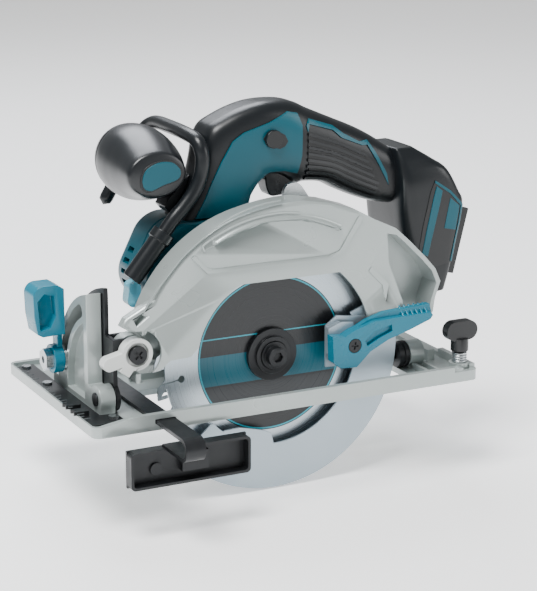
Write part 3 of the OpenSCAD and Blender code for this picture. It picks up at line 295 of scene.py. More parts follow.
# %% [markdown]
# ## A finish for every CAD part
# The record says which material slot each part takes. A table from slot to finish covers all of
# them at once, and a few parts then get their own.

# %% Finishes on the frame
SLOT_FINISH = {
    "cast_light": cast_paint, "teal_plastic": teal_nylon, "black_plastic": black_nylon,
    "black_rubber": soft_rubber, "black_steel": black_coat, "bright_steel": zinc_steel,
    "guard_alloy": guard_alloy, "cast_alloy": cast_alloy, "copper_winding": copper_wire,
    "board_green": board_green, "light_plastic": acetal_white, "lamp_lens": lamp_lens,
}
OWN_FINISH = {
    "blade": blade_steel, "guard_lever": teal_bright, "bevel_lever": teal_bright,
    "hook": grey_nylon, "hook_holder": grey_nylon, "front_knob": knob_rubber_and_rib_highlight,
    "knob_bracket": grey_nylon, "handle_left_shell": grey_nylon, "trigger": grey_nylon,
    "handle_right_shell": grey_nylon, "depth_guide": zinc_steel, "knob_badge": teal_bright,
}
SLOT_OF = {part["node"]: part["material_slot"] for part in frame["record"]["subparts"]}
BODY_OF = {node: body for body, nodes in frame["record"]["behaviour"]["bodies"].items()
           for node in nodes}


def finish_of(node):
    """The finish of a CAD part: its own if it has one, else the one for its slot."""
    return OWN_FINISH.get(node, SLOT_FINISH[SLOT_OF[node]])


for node, thing in frame["nodes"].items():
    thing.data.materials.clear()
    thing.data.materials.append(finish_of(node))
print(len(frame["nodes"]), "CAD parts finished")

# %% [markdown]
# ## Rounding the edges of a casting or a moulding
# No cast, moulded or pressed edge is razor sharp, and the thin bright line along a rounded edge
# is what makes a part look real. The CAD mesh is loose triangles, so the copy is merged, its flat
# triangles are joined to whole faces, and a Bevel modifier rounds the edges that turn by more than
# 30 degrees. Hardened normals keep the flats flat.

# %% Softened copies
def linked(name, data):
    """A new object in the scene with this mesh, lamp or camera."""
    thing = bpy.data.objects.new(name, data)
    bpy.context.scene.collection.objects.link(thing)
    return thing


def shade(mesh, angle=35):
    """Smooth shading, except across edges that turn by more than the angle."""
    mesh.shade_smooth()
    mesh.set_sharp_from_angle(angle=np.radians(angle))


def round_edges(piece, width, turn=30, segments=2, level=True):
    """A Bevel of width (mm) on edges that turn by more than turn; level keeps the flats flat."""
    bevel = piece.modifiers.new("rounded edges", "BEVEL")
    bevel.width = width / 1000
    bevel.segments = segments
    bevel.limit_method = "ANGLE"
    bevel.angle_limit = np.radians(turn)
    bevel.harden_normals = level


def settle(piece, body, finishes, *nodes, slot=None):
    """Gives a piece its finish and its body, and hides the CAD parts it stands for."""
    if not isinstance(finishes, (list, tuple)):
        finishes = [finishes]
    piece.data.materials.clear()
    for finish in finishes:
        piece.data.materials.append(finish)
    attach(piece, body)
    if nodes:
        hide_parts(*nodes)
    return piece


# Points closer than this (m) are one; triangles that turn by less than this (degrees) are one face
MERGE_WITHIN, FLAT_WITHIN = 2e-6, 0.3


def soften(node, width):
    """A copy of a CAD part whose edges are rounded by width (mm). It stands for the part."""
    mesh = frame["nodes"][node].data.copy()
    shape = bmesh.new()
    shape.from_mesh(mesh)
    bmesh.ops.remove_doubles(shape, verts=shape.verts, dist=MERGE_WITHIN)
    bmesh.ops.dissolve_limit(shape, angle_limit=np.radians(FLAT_WITHIN), verts=shape.verts,
                             edges=shape.edges)
    shape.to_mesh(mesh)
    shape.free()
    shade(mesh)
    piece = linked("soft_" + node, mesh)
    round_edges(piece, width)
    return settle(piece, BODY_OF[node], finish_of(node), node)


EDGE_WIDTH = {
    "base_plate": 0.5, "bevel_quadrant": 0.7, "blade_case": 0.6, "lower_guard": 0.3,
    "guard_lever": 0.8, "bevel_lever": 0.8, "front_bracket": 0.4, "rip_fence": 0.35,
    "positive_stopper": 0.5, "depth_lever": 0.8, "thumb_screw": 0.8, "gear_housing": 0.5,
    "hook_holder": 0.6, "knob_bracket": 0.8, "trigger": 0.8, "lock_off_button": 0.6,
    "ruler_plate": 0.25, "outer_flange": 0.3, "blade_bolt": 0.3, "motor_end_cap": 0.6,
    "shaft_lock": 0.5, "guard_bracket": 0.3, "rear_bracket": 0.4, "terminal_block": 0.4,
    "led_lens": 0.5, "depth_guide": 0.3, "guard_lever_screw": 0.2, "depth_pivot_pin": 0.3,
}
softened = {node: soften(node, width) for node, width in EDGE_WIDTH.items()}
print(len(softened), "softened copies")

# %% [markdown]
# The upper guard's outer rim is rounded much more than its other edges, so it is rounded first, in
# the mesh itself. A rim edge lies on the near side, and one of its two faces points away from the
# spindle.

# %% The upper guard's broad rim
# The y of the near side, then where the rounded rim is: outside this radius, above this height and
# ahead of this x, all in mm about the spindle
GUARD_NEAR_SIDE, RIM_INSIDE_R, RIM_ABOVE, RIM_AHEAD_OF = -12.5, 90, 20, 50
RIM_TURN, RIM_ROUNDING = 60, 3.0


def round_rim(piece, width, segments=4):
    """Rounds the near outer rim of the upper guard by width (mm), ahead of the sawdust chute."""
    shape = bmesh.new()
    shape.from_mesh(piece.data)
    level = (SPINDLE[1] + GUARD_NEAR_SIDE) / 1000
    rim = []
    for edge in shape.edges:
        if len(edge.link_faces) != 2 or edge.calc_face_angle(0) < np.radians(RIM_TURN):
            continue
        out = np.array((edge.verts[0].co + edge.verts[1].co) / 2) * 1000 - SPINDLE
        side = min(edge.link_faces, key=lambda face: abs(face.normal.y))
        away = side.normal.x * out[0] + side.normal.z * out[2] > 0
        flat = all(abs(v.co.y - level) < 1e-4 for v in edge.verts)
        outer = (np.hypot(out[0], out[2]) > RIM_INSIDE_R and out[2] > RIM_ABOVE
                 and out[0] < RIM_AHEAD_OF)
        if flat and away and outer:
            rim.append(edge)
    bmesh.ops.bevel(shape, geom=rim, offset=width / 1000, offset_type="OFFSET",
                    segments=segments, profile=0.5, affect="EDGES", clamp_overlap=False,
                    loop_slide=True)
    shape.to_mesh(piece.data)
    shape.free()
    shade(piece.data)
    print(len(rim), "rim edges rounded")


round_rim(softened["blade_case"], RIM_ROUNDING)
level_faces = softened["blade_case"].modifiers.new("level faces", "WEIGHTED_NORMAL")
level_faces.keep_sharp = True
level_faces.weight = 100

# %% [markdown]
# ## Curves and surfaces from a few points
# These helpers make every flowing shape below. The first runs a smooth curve through a few points
# (each stretch is a cubic whose slope at a point is half the way between its neighbours). The last
# turns a grid of points into a mesh, closed round one way, with its two ends closed by fans, so
# that the piece is a solid.

# %% Curve and grid helpers
def through(points, count):
    """Catmull-Rom curve through the points at count even steps of its parameter."""
    p = np.asarray(points, dtype=float)
    p = np.vstack([2 * p[0] - p[1], p, 2 * p[-1] - p[-2]])
    t = np.linspace(0, len(p) - 3 - 1e-9, count)
    i = t.astype(int)
    u = (t - i)[:, None]
    a, b, c, d = p[i], p[i + 1], p[i + 2], p[i + 3]
    return 0.5 * (2 * b + (c - a) * u + (2 * a - 5 * b + 4 * c - d) * u**2
                  + (3 * b - 3 * c + d - a) * u**3)


def power(x, n):
    """|x| to the power n with x's sign: it squares up a circle into a superellipse."""
    return np.sign(x) * np.abs(x) ** n


def solid(name, points, faces, angle=35, merge=0.0):
    """A piece from points in mm about the spindle and faces, with its normals turned outwards."""
    mesh = bpy.data.meshes.new(name)
    mesh.from_pydata(place(points).tolist(), [], faces)
    shape = bmesh.new()
    shape.from_mesh(mesh)
    if merge:
        bmesh.ops.remove_doubles(shape, verts=shape.verts, dist=merge)
    bmesh.ops.recalc_face_normals(shape, faces=shape.faces)
    shape.to_mesh(mesh)
    shape.free()
    shade(mesh, angle)
    return linked(name, mesh)


def tube_mesh(name, grid, angle=40):
    """A piece from grid[ring, around, xyz] in mm about the spindle: rings joined, ends fanned."""
    rings, around = grid.shape[:2]
    index = np.arange(rings * around).reshape(rings, around)
    a, b = index[:-1], index[1:]
    faces = np.stack([a, np.roll(a, -1, 1), np.roll(b, -1, 1), b], -1).reshape(-1, 4).tolist()
    points = np.vstack([grid.reshape(-1, 3), grid[0].mean(0), grid[-1].mean(0)])
    first, last = rings * around, rings * around + 1
    faces += [(first, int(q), int(p)) for p, q in zip(index[0], np.roll(index[0], -1))]
    faces += [(last, int(p), int(q)) for p, q in zip(index[-1], np.roll(index[-1], -1))]
    return solid(name, points, faces, angle, 1e-6)


# %% [markdown]
# ## Plates cut to an outline
# A panel, badge or strip is an outline given in side view and a thickness. A Bevel rounds its
# edges. Where a panel lies on a curved shell it is first drawn as a thick block, and only what
# the block has in common with a slightly swollen copy of the shell is kept: the panel then
# follows the shell and stands proud of it by the swelling.

# %% Plates and panels
def plate(name, outline, y0, y1, bevel=0.0, smooth=0):
    """A plate between y0 and y1 (mm) with an outline of (x, z) points, edges rounded by bevel."""
    outline = np.asarray(outline, dtype=float)
    if smooth:
        outline = through(np.vstack([outline, outline[:1]]), smooth + 1)[:-1]
    count = len(outline)
    low = np.column_stack([outline[:, 0], np.full(count, y0), outline[:, 1]])
    high = low + [0, y1 - y0, 0]
    sides = [(i, (i + 1) % count, (i + 1) % count + count, i + count) for i in range(count)]
    piece = solid(name, np.vstack([low, high]),
                  sides + [list(range(count))[::-1], list(range(count, 2 * count))])
    if bevel:
        round_edges(piece, bevel)
    return piece


def combine(piece, other, operation):
    """piece becomes its union, difference or intersection with other, worked out exactly."""
    step = piece.modifiers.new("combine", "BOOLEAN")
    step.operation = operation
    step.solver = "EXACT"
    step.object = other
    bpy.context.view_layer.update()
    seen = piece.evaluated_get(bpy.context.evaluated_depsgraph_get())
    mesh = bpy.data.meshes.new_from_object(seen)
    piece.modifiers.clear()
    piece.data = mesh
    shade(mesh)
    bpy.data.objects.remove(other)
    return piece


# %% [markdown]
# ## Raised lines on the upper guard
# The casting has raised lines that frame its large panels. Each is a narrow ribbon: a curve
# through a few points, moved half its width to either side.

# %% Raised lines
def ribbon(name, line, width, y0, y1, body, finish, slot, count, bevel):
    """A narrow plate that follows a smooth line of count points through a few (x, z) points."""
    line = through(line, count)
    ahead = np.gradient(line, axis=0)
    ahead /= np.linalg.norm(ahead, axis=1)[:, None]
    side = ahead[:, ::-1] * [-1, 1] * width / 2
    strip = plate(name, np.vstack([line + side, (line - side)[::-1]]), y0, y1, bevel)
    return settle(strip, body, finish, slot=slot)


case_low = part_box("blade_case")[0][1] * 1000 - SPINDLE[1]
PANEL_EDGE = [(-58.1, 73.8), (-55.5, 69.6), (-52, 66.2), (-48.6, 64.6), (-45, 63.9), (-30, 63.9),
              (-15, 63.9), (0.7, 63.9), (12, 62.2)]
CRESCENT = [(-51.9, 76.3), (-53.2, 79), (-52.5, 80.8), (-45, 85.2), (-34.5, 89.8), (-24, 93),
            (-12.1, 95.2), (2, 95.9), (14.9, 94.4)]
RIM_SEAM = [(-93.7, 42.1), (-87, 52.5), (-78.5, 62.1), (-67, 74.2), (-54.3, 83.8), (-41, 92.6),
            (-26.5, 98.9), (-12, 102.5), (1.6, 103.8)]
# Name, line, width, distance behind the casting's nearest point, finish, points, rounding
LINES = [("panel_edge_line", PANEL_EDGE, 1.3, 0.05, cast_paint, 60, 0.25),
         # The rim seam line takes the darker paint: painted shade along the seam
         ("rim_seam_line", RIM_SEAM, 0.7, 0.3, seam_shade_paint, 80, 0.1),
         ("crescent_line", CRESCENT, 1.1, 0.15, cast_paint, 60, 0.25)]
for name, line, width, behind, finish, count, rounding in LINES:
    ribbon(name, line, width, case_low + behind, case_low + 2, "head", finish, "cast_light", count,
           rounding)

# %% [markdown]
# ## Finger ribs on the guard's lever
# Six ribs cross the slanted top of the lever near its free end. Each runs from the near edge up to
# the far edge, so it is a bar with slanted ends.

# %% Lever ribs
# Where a rib starts and ends as (y, z), then the first rib's x, the pitch, the width, how far a rib
# stands above the lever's face and how far it reaches into it, all in mm
LEVER_RIB_NEAR, LEVER_RIB_FAR = (-21.4, 18.3), (-14.2, 23.9)
LEVER_RIB_X, LEVER_RIB_PITCH, LEVER_RIB_WIDTH = 87.5, 3.6, 1.4
LEVER_RIB_RISE, LEVER_RIB_ROOT = 0.9, 1
section = [(*LEVER_RIB_NEAR, -LEVER_RIB_ROOT), (*LEVER_RIB_FAR, -LEVER_RIB_ROOT),
           (*LEVER_RIB_FAR, LEVER_RIB_RISE), (*LEVER_RIB_NEAR, LEVER_RIB_RISE)]
rib_points, rib_faces = [], []
for k in range(6):
    x = LEVER_RIB_X + LEVER_RIB_PITCH * k
    rib_points += [(end, y, z + rise) for end in (x, x + LEVER_RIB_WIDTH) for y, z, rise in section]
    rib_faces += (np.array([[0, 1, 2, 3], [7, 6, 5, 4], [0, 4, 5, 1], [1, 5, 6, 2], [2, 6, 7, 3],
                            [3, 7, 4, 0]]) + 8 * k).tolist()
rib_mesh = bpy.data.meshes.new("lever_ribs")
rib_mesh.from_pydata(place(np.array(rib_points)).tolist(), [], rib_faces)
lever_ribs = linked("lever_ribs", rib_mesh)
round_edges(lever_ribs, 0.3, level=False)
settle(lever_ribs, BODY_OF["guard_lever"], teal_bright, slot="teal_plastic")

# %% [markdown]
# ## The handle
# The grip is one shell that rises from the motor, turns over the hand and falls to the battery
# foot. Two curves describe it in side view: the crown and the palm side. Between each pair of
# points on them stands a cross-section, a superellipse: a circle squared up a little, so that the
# grip is flatter on its sides than a pipe and still has no corners.

# %% Grip
CROWN = [(-52, 88.6), (-46.5, 97), (-40.5, 106), (-37, 116), (-34.5, 127), (-32.8, 137),
         (-28.5, 146.3), (-19, 151.8), (-7, 156.5), (7, 159.6), (23, 160), (34, 157.6),
         (44, 152.8), (62, 145), (76, 139), (88, 133), (101, 125), (112, 117)]
PALM = [(-3, 88.6), (-1.5, 95), (0, 101), (2.5, 105), (5, 107.6), (7.5, 109.6), (10, 111),
        (13, 111.6), (17, 111.6), (22, 110.8), (28, 107.5), (34, 103.2), (41, 103.6), (54, 102),
        (66, 96), (78, 90.6), (94, 85), (112, 82)]
# The superellipse's power and its half width, for each pair of points above
SQUARENESS = [4.6] * 6 + [4.2] * 4 + [3.4, 3.0] + [2.7] * 4 + [2.8, 3.0]
HALF_WIDTH = [18] * 12 + [17.6, 17.2, 17, 17, 17.4, 18]
# The groove where the two halves of the shell meet, in mm
SEAM_DEPTH, SEAM_HALF = 0.35, 0.5


def grip_grid(swell=0.0, rings=120, around=72):
    """Point = middle + half height * cos^(2/n) + half width * sin^(2/n), all swollen by swell."""
    crown, palm = through(CROWN, rings), through(PALM, rings)
    shape = through(np.column_stack([SQUARENESS, HALF_WIDTH]), rings)
    turn = np.linspace(0, 2 * np.pi, around, endpoint=False)[None, :]
    middle, half = (crown + palm) / 2, (crown - palm) / 2
    height = np.linalg.norm(half, axis=1)[:, None]
    unit = half / height
    n = shape[:, :1]
    up = (height + swell) * power(np.cos(turn), 2 / n)
    side = (shape[:, 1:] + swell) * power(np.sin(turn), 2 / n)
    seam = SEAM_DEPTH * np.exp(-(side / SEAM_HALF) ** 2) * np.sign(np.cos(turn)) * (swell == 0)
    up = up - seam
    return np.stack([middle[:, :1] + unit[:, :1] * up, GRIP_MID + side,
                     middle[:, 1:] + unit[:, 1:] * up], -1)


grip = tube_mesh("handle_grip_shell", grip_grid())
settle(grip, "head", grey_nylon, "handle_left_shell", "handle_right_shell")
print("grip", len(grip.data.vertices), "points")

# %% [markdown]
# ## The battery foot
# The foot is a squarer box with softened sides: the same pair of curves and sections, with a
# higher power. A step in its width near the top makes the shoulder where it grows out of the grip.

# %% Foot
FOOT_FRONT = [(103.5, 122.5), (104, 113), (104.5, 100), (105, 84), (107, 66), (110.5, 52),
              (115, 38), (120, 22)]
FOOT_REAR = [(118, 122.5), (131, 114.5), (141.5, 107), (151, 91.5), (154.5, 82), (149, 58),
             (145, 40), (140, 23)]
FOOT_WIDTH = [19, 24.5, 28.5, 29.3, 29.4, 29.4, 29.4, 28.5]
FOOT_POWER = 7


def foot_grid(swell=0.0, rings=60, around=72):
    """As the grip: a superellipse between the front and rear curves."""
    front, rear = through(FOOT_FRONT, rings), through(FOOT_REAR, rings)
    width = through([(w, 0) for w in FOOT_WIDTH], rings)[:, :1]
    turn = np.linspace(0, 2 * np.pi, around, endpoint=False)[None, :]
    middle, half = (front + rear) / 2, (rear - front) / 2
    length = np.linalg.norm(half, axis=1)[:, None]
    unit = half / length
    along = (length + swell) * power(np.cos(turn), 2 / FOOT_POWER)
    side = (width + swell) * power(np.sin(turn), 2 / FOOT_POWER)
    return np.stack([middle[:, :1] + unit[:, :1] * along, GRIP_MID + side,
                     middle[:, 1:] + unit[:, 1:] * along], -1)


foot = tube_mesh("battery_foot_shell", foot_grid())
round_edges(foot, 1.2, turn=45, level=False)
settle(foot, "head", grey_nylon, slot="black_plastic")


# %% [markdown]
# ## Panels on the handle
# The near and far sides carry the same panels: the teal cover that sweeps up from the motor with a
# black recess round the lock-off button, a thin teal sliver over the fingers, and the teal strip,
# badge and edge of the foot in a black frame. Each is a block cut to its outline and shared with a
# swollen grip or foot. The swelling is the height it stands proud.

# %% Handle panels
COVER = [(-43, 89.5), (-36, 101), (-31.5, 111), (-24, 125), (-16, 137.5), (-8, 142.5), (10, 147.5),
         (24, 153.5), (31, 152), (34, 144), (33.5, 124), (31, 112), (22, 114.5), (11, 114.5),
         (3, 109), (-3, 101), (-6, 89.5)]
PAD = [(40.5, 110), (38.5, 122), (38.5, 136.5), (58, 131.5), (64, 127), (76, 123), (81, 122.5),
       (90, 112), (99, 96), (94, 90), (78, 95), (62, 101.5), (49, 108.5)]
SLIVER = [(38.5, 139), (40, 144), (58, 138.5), (64, 133), (80, 126.5), (84, 126.5), (92, 112.5),
          (99.5, 98), (98, 106), (90, 121), (84.5, 129.5), (78, 129), (66, 135.5), (58, 141.5),
          (40, 147.5), (37.5, 143)]
FOOT_STRIP = [(119.5, 51), (122.5, 66), (127.5, 88), (130, 96.5), (134.5, 93), (131.5, 80),
              (126, 58), (123.8, 48.5)]
FOOT_BADGE = [(136.5, 67), (140.8, 87.5), (148.3, 81.5), (145.5, 65)]
FOOT_EDGE = [(129, 100.5), (141, 92.5), (151.5, 82), (149.6, 70), (143.5, 43), (141.8, 43.6),
             (147.8, 70), (149.4, 81.4), (140.2, 91), (128.6, 98.8)]
LOCK_OFF_RECESS = [(5.1, 137.5), (7.4, 140.6), (11.5, 142.2), (16.5, 141.2), (20.9, 138.8),
                   (23.1, 134.6), (21, 131.4), (17.3, 129.9), (11.6, 131.4), (7.2, 134.2)]
FOOT_FRAME = [(116.6, 51), (120, 70), (125.5, 93), (129, 100.5), (141, 92.5), (151.5, 82),
              (149.6, 70), (143.5, 43), (128, 40.5)]


OUTSIDE = 34


def on_shell(name, outline, grid, finish, side, inner, rounding, slot):
    """A panel on one side (-1 near, 1 far): a block of the outline shared with a swollen shell."""
    ends = sorted([GRIP_MID + side * inner, GRIP_MID + side * OUTSIDE])
    panel = plate(name, outline, *ends)
    skin = tube_mesh(name + "_skin", grid)
    combine(panel, skin, "INTERSECT")
    round_edges(panel, rounding, turn=50, level=False)
    return settle(panel, "head", finish, slot=slot)


SIDES = ((-1, "near"), (1, "far"))
# Outline, shell, swelling, finish, and where the block starts beside the handle's middle
TEAL_PANELS = {
    "cover_panel": (COVER, grip_grid, 1.3, teal_nylon, 9),
    "grip_sliver": (SLIVER, grip_grid, 0.7, teal_nylon, 6),
    "foot_strip": (FOOT_STRIP, foot_grid, 0.9, teal_nylon, 24),
    "foot_badge": (FOOT_BADGE, foot_grid, 0.7, teal_nylon, 24),
    "foot_edge": (FOOT_EDGE, foot_grid, 0.8, teal_nylon, 24),
}
BLACK_PANELS = {
    "lock_off_recess": (LOCK_OFF_RECESS, grip_grid, 1.6, soft_rubber, 9),
    "foot_frame": (FOOT_FRAME, foot_grid, 0.4, black_nylon, 24),
}
COVER_ROUNDING, PANEL_ROUNDING = 0.5, 0.3
STANDS_FOR = {"cover_panel_near": "left_side_cover", "cover_panel_far": "right_side_cover"}
for panels, slot in ((TEAL_PANELS, "teal_plastic"), (BLACK_PANELS, "black_plastic")):
    for side, word in SIDES:
        for name, (outline, shell, swelling, finish, inner) in panels.items():
            name = f"{name}_{word}"
            rounding = COVER_ROUNDING if name in STANDS_FOR else PANEL_ROUNDING
            panel = on_shell(name, outline, shell(swelling), finish, side, inner, rounding, slot)
            if name in STANDS_FOR:
                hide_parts(STANDS_FOR[name])

# %% [markdown]
# ## The ribbed grip
# The rubber under the fingers is a low pad with eight long ribs that follow the grip. A rib is a
# line at a fixed share of the way from the palm side to the crown, made into a narrow panel.

# %% Ribbed pads
# The ribs' places from palm to crown, where they start and end as shares of the grip's length, how
# much sooner the upper ones end, and their width in mm
RIB_SHARES = np.linspace(0.08, 0.66, 8)
RIB_START, RIB_END, RIB_SLANT, SLANT_FROM, RIB_WIDTH = 0.675, 0.925, 0.16, 0.35, 1.9
stretch = np.linspace(0, 1, 120)
crown_line, palm_line = through(CROWN, 120), through(PALM, 120)
for side, word in SIDES:
    pad = on_shell("ribbed_pad_" + word, PAD, grip_grid(0.5), soft_rubber, side, 5, 0.1,
                   "black_rubber")
    if side < 0:
        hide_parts("grip_pads")
    for k, share in enumerate(RIB_SHARES):
        last = RIB_END - RIB_SLANT * max(share - SLANT_FROM, 0)
        kept = (stretch > RIB_START) & (stretch < last)
        line = (palm_line + (crown_line - palm_line) * share)[kept]
        across = (crown_line - palm_line)[kept]
        across /= np.linalg.norm(across, axis=1)[:, None]
        outline = np.vstack([line + across * RIB_WIDTH / 2, (line - across * RIB_WIDTH / 2)[::-1]])
        # The ribs take the lighter charcoal rubber: a painted highlight along their ridges
        on_shell(f"grip_rib_{k}_{word}", outline, grip_grid(1.2), knob_rubber_and_rib_highlight, side, 3, 0.3,
                 "black_rubber")
print("handle panels done")

# %% [markdown]
# ## The motor housing
# The housing wraps four circles seen from the side: the motor and three lobes that carry the
# handle. The outline that wraps circles is simple to compute: in each direction it is set by the
# circle that reaches furthest that way. Towards the far end the lobes sink into the motor's own
# circle, and the end is rounded like the rim of a cup.

# %% Motor housing
LOBE_CENTRE = np.array([[MOTOR[0], MOTOR[1]], [-61, 50], [-50, 68], [-14, 73]])
LOBE_RADIUS = np.array([38.0, 18.5, 20.3, 15.3])
# Sections along y: its place, how far the lobes have sunk (0 to 1) and how far it is inset, in mm
MOTOR_STATIONS = [(16, 0, -1.2), (17.2, 0, 0), (40, 0, 0), (40.6, 0, -0.7), (41.4, 0, -0.7),
                  (42, 0, 0), (62, 0, 0), (66, 0.04, 0), (70, 0.2, 0), (74, 0.55, 0),
                  (78, 0.86, 0), (82, 0.98, 0), (86, 1, 0), (98, 1, 0), (98.6, 1, -0.8),
                  (99.4, 1, -0.8), (100, 1, 0)]


def motor_grid(around=180):
    """Furthest circle in each direction; lobes blend into the motor's circle; inset by station."""
    turn = np.linspace(0, 2 * np.pi, around, endpoint=False)
    out = np.column_stack([np.cos(turn), np.sin(turn)])
    rows = []
    for y, blend, inset in MOTOR_STATIONS:
        centre = LOBE_CENTRE + (LOBE_CENTRE[0] - LOBE_CENTRE) * blend
        radius = LOBE_RADIUS + (LOBE_RADIUS[0] - LOBE_RADIUS) * blend
        reach = out @ centre.T + radius
        best = reach.argmax(1)
        ring = centre[best] + out * (radius[best] + inset)[:, None]
        rows.append(np.column_stack([ring[:, 0], np.full(around, y), ring[:, 1]]))
    return np.array(rows)


housing = tube_mesh("motor_housing_shell", motor_grid(), angle=28)
# Ranges in x, y and z: five slots one above another at the front, five side by side above and below
VENTS = 5
slots = []
for k in range(VENTS):
    z = 36 + 7 * k
    slots.append(((-82, -40), (50, 58), (z, z + 3.2)))
for k in range(VENTS):
    x = -28 + 8.5 * k
    slots.append(((x, x + 4), (76, 94), (50, 66)))
    slots.append(((x, x + 4), (76, 94), (-20, -8)))


def box_set(name, boxes):
    """One mesh of many boxes, each given by its ranges in x, y and z (mm)."""
    corner = np.array([[i >> 2 & 1, i >> 1 & 1, i & 1] for i in range(8)])
    faces = np.array([[0, 1, 3, 2], [4, 6, 7, 5], [0, 4, 5, 1], [2, 3, 7, 6], [0, 2, 6, 4],
                      [1, 5, 7, 3]])
    r = np.asarray(boxes, dtype=float)
    verts = r[:, None, :, 0] + corner[None] * (r[:, None, :, 1] - r[:, None, :, 0])
    quads = faces[None] + 8 * np.arange(len(r))[:, None, None]
    mesh = bpy.data.meshes.new(name)
    mesh.from_pydata(place(verts.reshape(-1, 3)).tolist(), [], quads.reshape(-1, 4).tolist())
    return linked(name, mesh)


CORE_R, CORE_ENDS = 33, (20, 99)
turn = np.linspace(0, 2 * np.pi, 64, endpoint=False)
core = tube_mesh("motor_core", np.array([
    np.column_stack([MOTOR[0] + CORE_R * np.cos(turn), np.full(64, y),
                     MOTOR[1] + CORE_R * np.sin(turn)]) for y in CORE_ENDS]))
cutter = box_set("vent_slots", slots)
combine(cutter, core, "DIFFERENCE")
combine(housing, cutter, "DIFFERENCE")
settle(housing, "head", teal_nylon, "motor_housing")
print("housing", len(housing.data.polygons), "faces")

# %% [markdown]
# ## The knob at the front
# The knob is an egg about an axis along y, a little flatter than it is wide at its near end. Each
# section is an oval with its own width and height. A narrow groove a quarter from the far end is
# the parting line of its two halves. The badge on its near end is a low plate in a dark border.

# %% Knob
knob_low, knob_high = (np.array(c) * 1000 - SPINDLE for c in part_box("front_knob"))
KNOB_MID = (knob_low + knob_high) / 2
KNOB_R = (knob_high[2] - knob_low[2]) / 2
KNOB_NEAR, KNOB_LENGTH = knob_low[1], knob_high[1] - knob_low[1]
# Share of the length, half width and half height as shares of the radius, shift forward in mm
EGG = [(0, 0.72, 0.51, 4.4), (0.01, 0.78, 0.57, 4.4), (0.04, 0.82, 0.62, 4.2),
       (0.12, 0.87, 0.70, 3.1), (0.26, 0.94, 0.82, 1.3), (0.42, 0.99, 0.94, 0.2),
       (0.56, 1.0, 1.0, 0), (0.70, 0.97, 0.98, 0), (0.82, 0.88, 0.90, 0), (0.91, 0.73, 0.75, 0),
       (0.97, 0.5, 0.52, 0), (0.995, 0.24, 0.25, 0), (1.0, 0.01, 0.01, 0)]


def oval(sections, x, z, around=96):
    """Sections of (y, half width, half height, shift) in mm set along y about (x, z)."""
    turn = np.linspace(0, 2 * np.pi, around, endpoint=False)[None, :]
    y, wide, high, shift = np.asarray(sections, dtype=float).T[:, :, None]
    return np.stack([x - shift + wide * np.cos(turn), y + 0 * turn, z + high * np.sin(turn)], -1)


# The parting groove: its place along the knob, its depth and its half width as shares
GROOVE_AT, GROOVE_DEPTH, GROOVE_HALF = 0.745, 0.022, 0.008
egg = through(EGG, 110)
egg[:, 1:3] -= GROOVE_DEPTH * np.exp(-((egg[:, :1] - GROOVE_AT) / GROOVE_HALF) ** 2)
egg = egg * [KNOB_LENGTH, KNOB_R, KNOB_R, 1] + [KNOB_NEAR, 0, 0, 0]
knob = tube_mesh("front_knob_shell", oval(egg, KNOB_MID[0], KNOB_MID[2]), angle=60)
settle(knob, "head", knob_rubber_and_rib_highlight, "front_knob")
BADGE = [(-81.4, 118), (-80.4, 122.6), (-77, 126.8), (-69, 129.6), (-61, 128.8), (-56.2, 125),
         (-55, 121), (-57.8, 117.4), (-67.5, 114.6), (-75.6, 111.8), (-80.2, 114)]
BADGE_MID, BORDER_SCALE = np.mean(BADGE, axis=0), 1.13
border = BADGE_MID + (np.array(BADGE) - BADGE_MID) * BORDER_SCALE
border = plate("badge_border", border, KNOB_NEAR - 0.5, KNOB_NEAR + 4, 0.35, smooth=60)
settle(border, "head", soft_rubber, slot="black_plastic")
badge = plate("knob_badge_dome", BADGE, KNOB_NEAR - 1.0, KNOB_NEAR + 2, 0.4, smooth=60)
settle(badge, "head", teal_nylon, "knob_badge")

# %% [markdown]
# ## The hanging hook
# The hook is a steel rod in a dull coat, bent twice and dipped at its tip. A circle is carried
# along a smooth path; at each point it stands square to the path. Its turn about the path is kept
# steady by measuring it from one fixed direction that the path never follows.

# %% Hook
HOOK_PATH = [(-87.5, 15.4, 59.6), (-67, 15.4, 84.5), (-60.6, 15.4, 92.3), (-53.5, 15.4, 99.5),
             (-46.4, 15.4, 108.2), (-41.6, 15.4, 118), (-40, 15.5, 128.5), (-40.5, 17, 136),
             (-41.3, 23, 140.6), (-41.2, 40, 142), (-39.5, 70, 141.5), (-38.8, 88, 140.8),
             (-39.5, 97, 139), (-42, 102, 135.5), (-46, 103.7, 129.5), (-57, 103.7, 112),
             (-73, 103.7, 85.5)]
HOOK_R = 4.6


def carried(path, radii, around=28, fixed=(0.62, 0.3, -0.72)):
    """A circle carried along a path: centre + r * (cos * u + sin * v), u and v square to it."""
    ahead = np.gradient(path, axis=0)
    ahead /= np.linalg.norm(ahead, axis=1)[:, None]
    u = np.cross(ahead, fixed)
    u /= np.linalg.norm(u, axis=1)[:, None]
    v = np.cross(ahead, u)
    turn = np.linspace(0, 2 * np.pi, around, endpoint=False)[None, :, None]
    return path[:, None] + np.asarray(radii)[:, None, None] * (
        np.cos(turn) * u[:, None] + np.sin(turn) * v[:, None])


hook_path = through(HOOK_PATH, 180)
steps = np.concatenate([[0], np.cumsum(np.linalg.norm(np.diff(hook_path, axis=0), axis=1))])
to_tip = (steps[-1] - steps).clip(0, HOOK_R)
hook_radii = np.sqrt((HOOK_R**2 - (HOOK_R - to_tip) ** 2).clip(0.01, None))
hook = tube_mesh("hanging_hook_rod", carried(hook_path, hook_radii), angle=60)
settle(hook, "hook", grey_nylon, "hook")

# %% [markdown]
# ## Marks on the ruler
# The strip at the front of the sole is a ruler with a tick every 5 mm and a long one every 10 mm.
# The ticks are thin bars that stand a little proud, as screen-printed ink does, in one mesh.

# %% Ruler ticks
ruler_low, ruler_high = (np.array(c) * 1000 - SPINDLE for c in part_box("ruler_plate"))
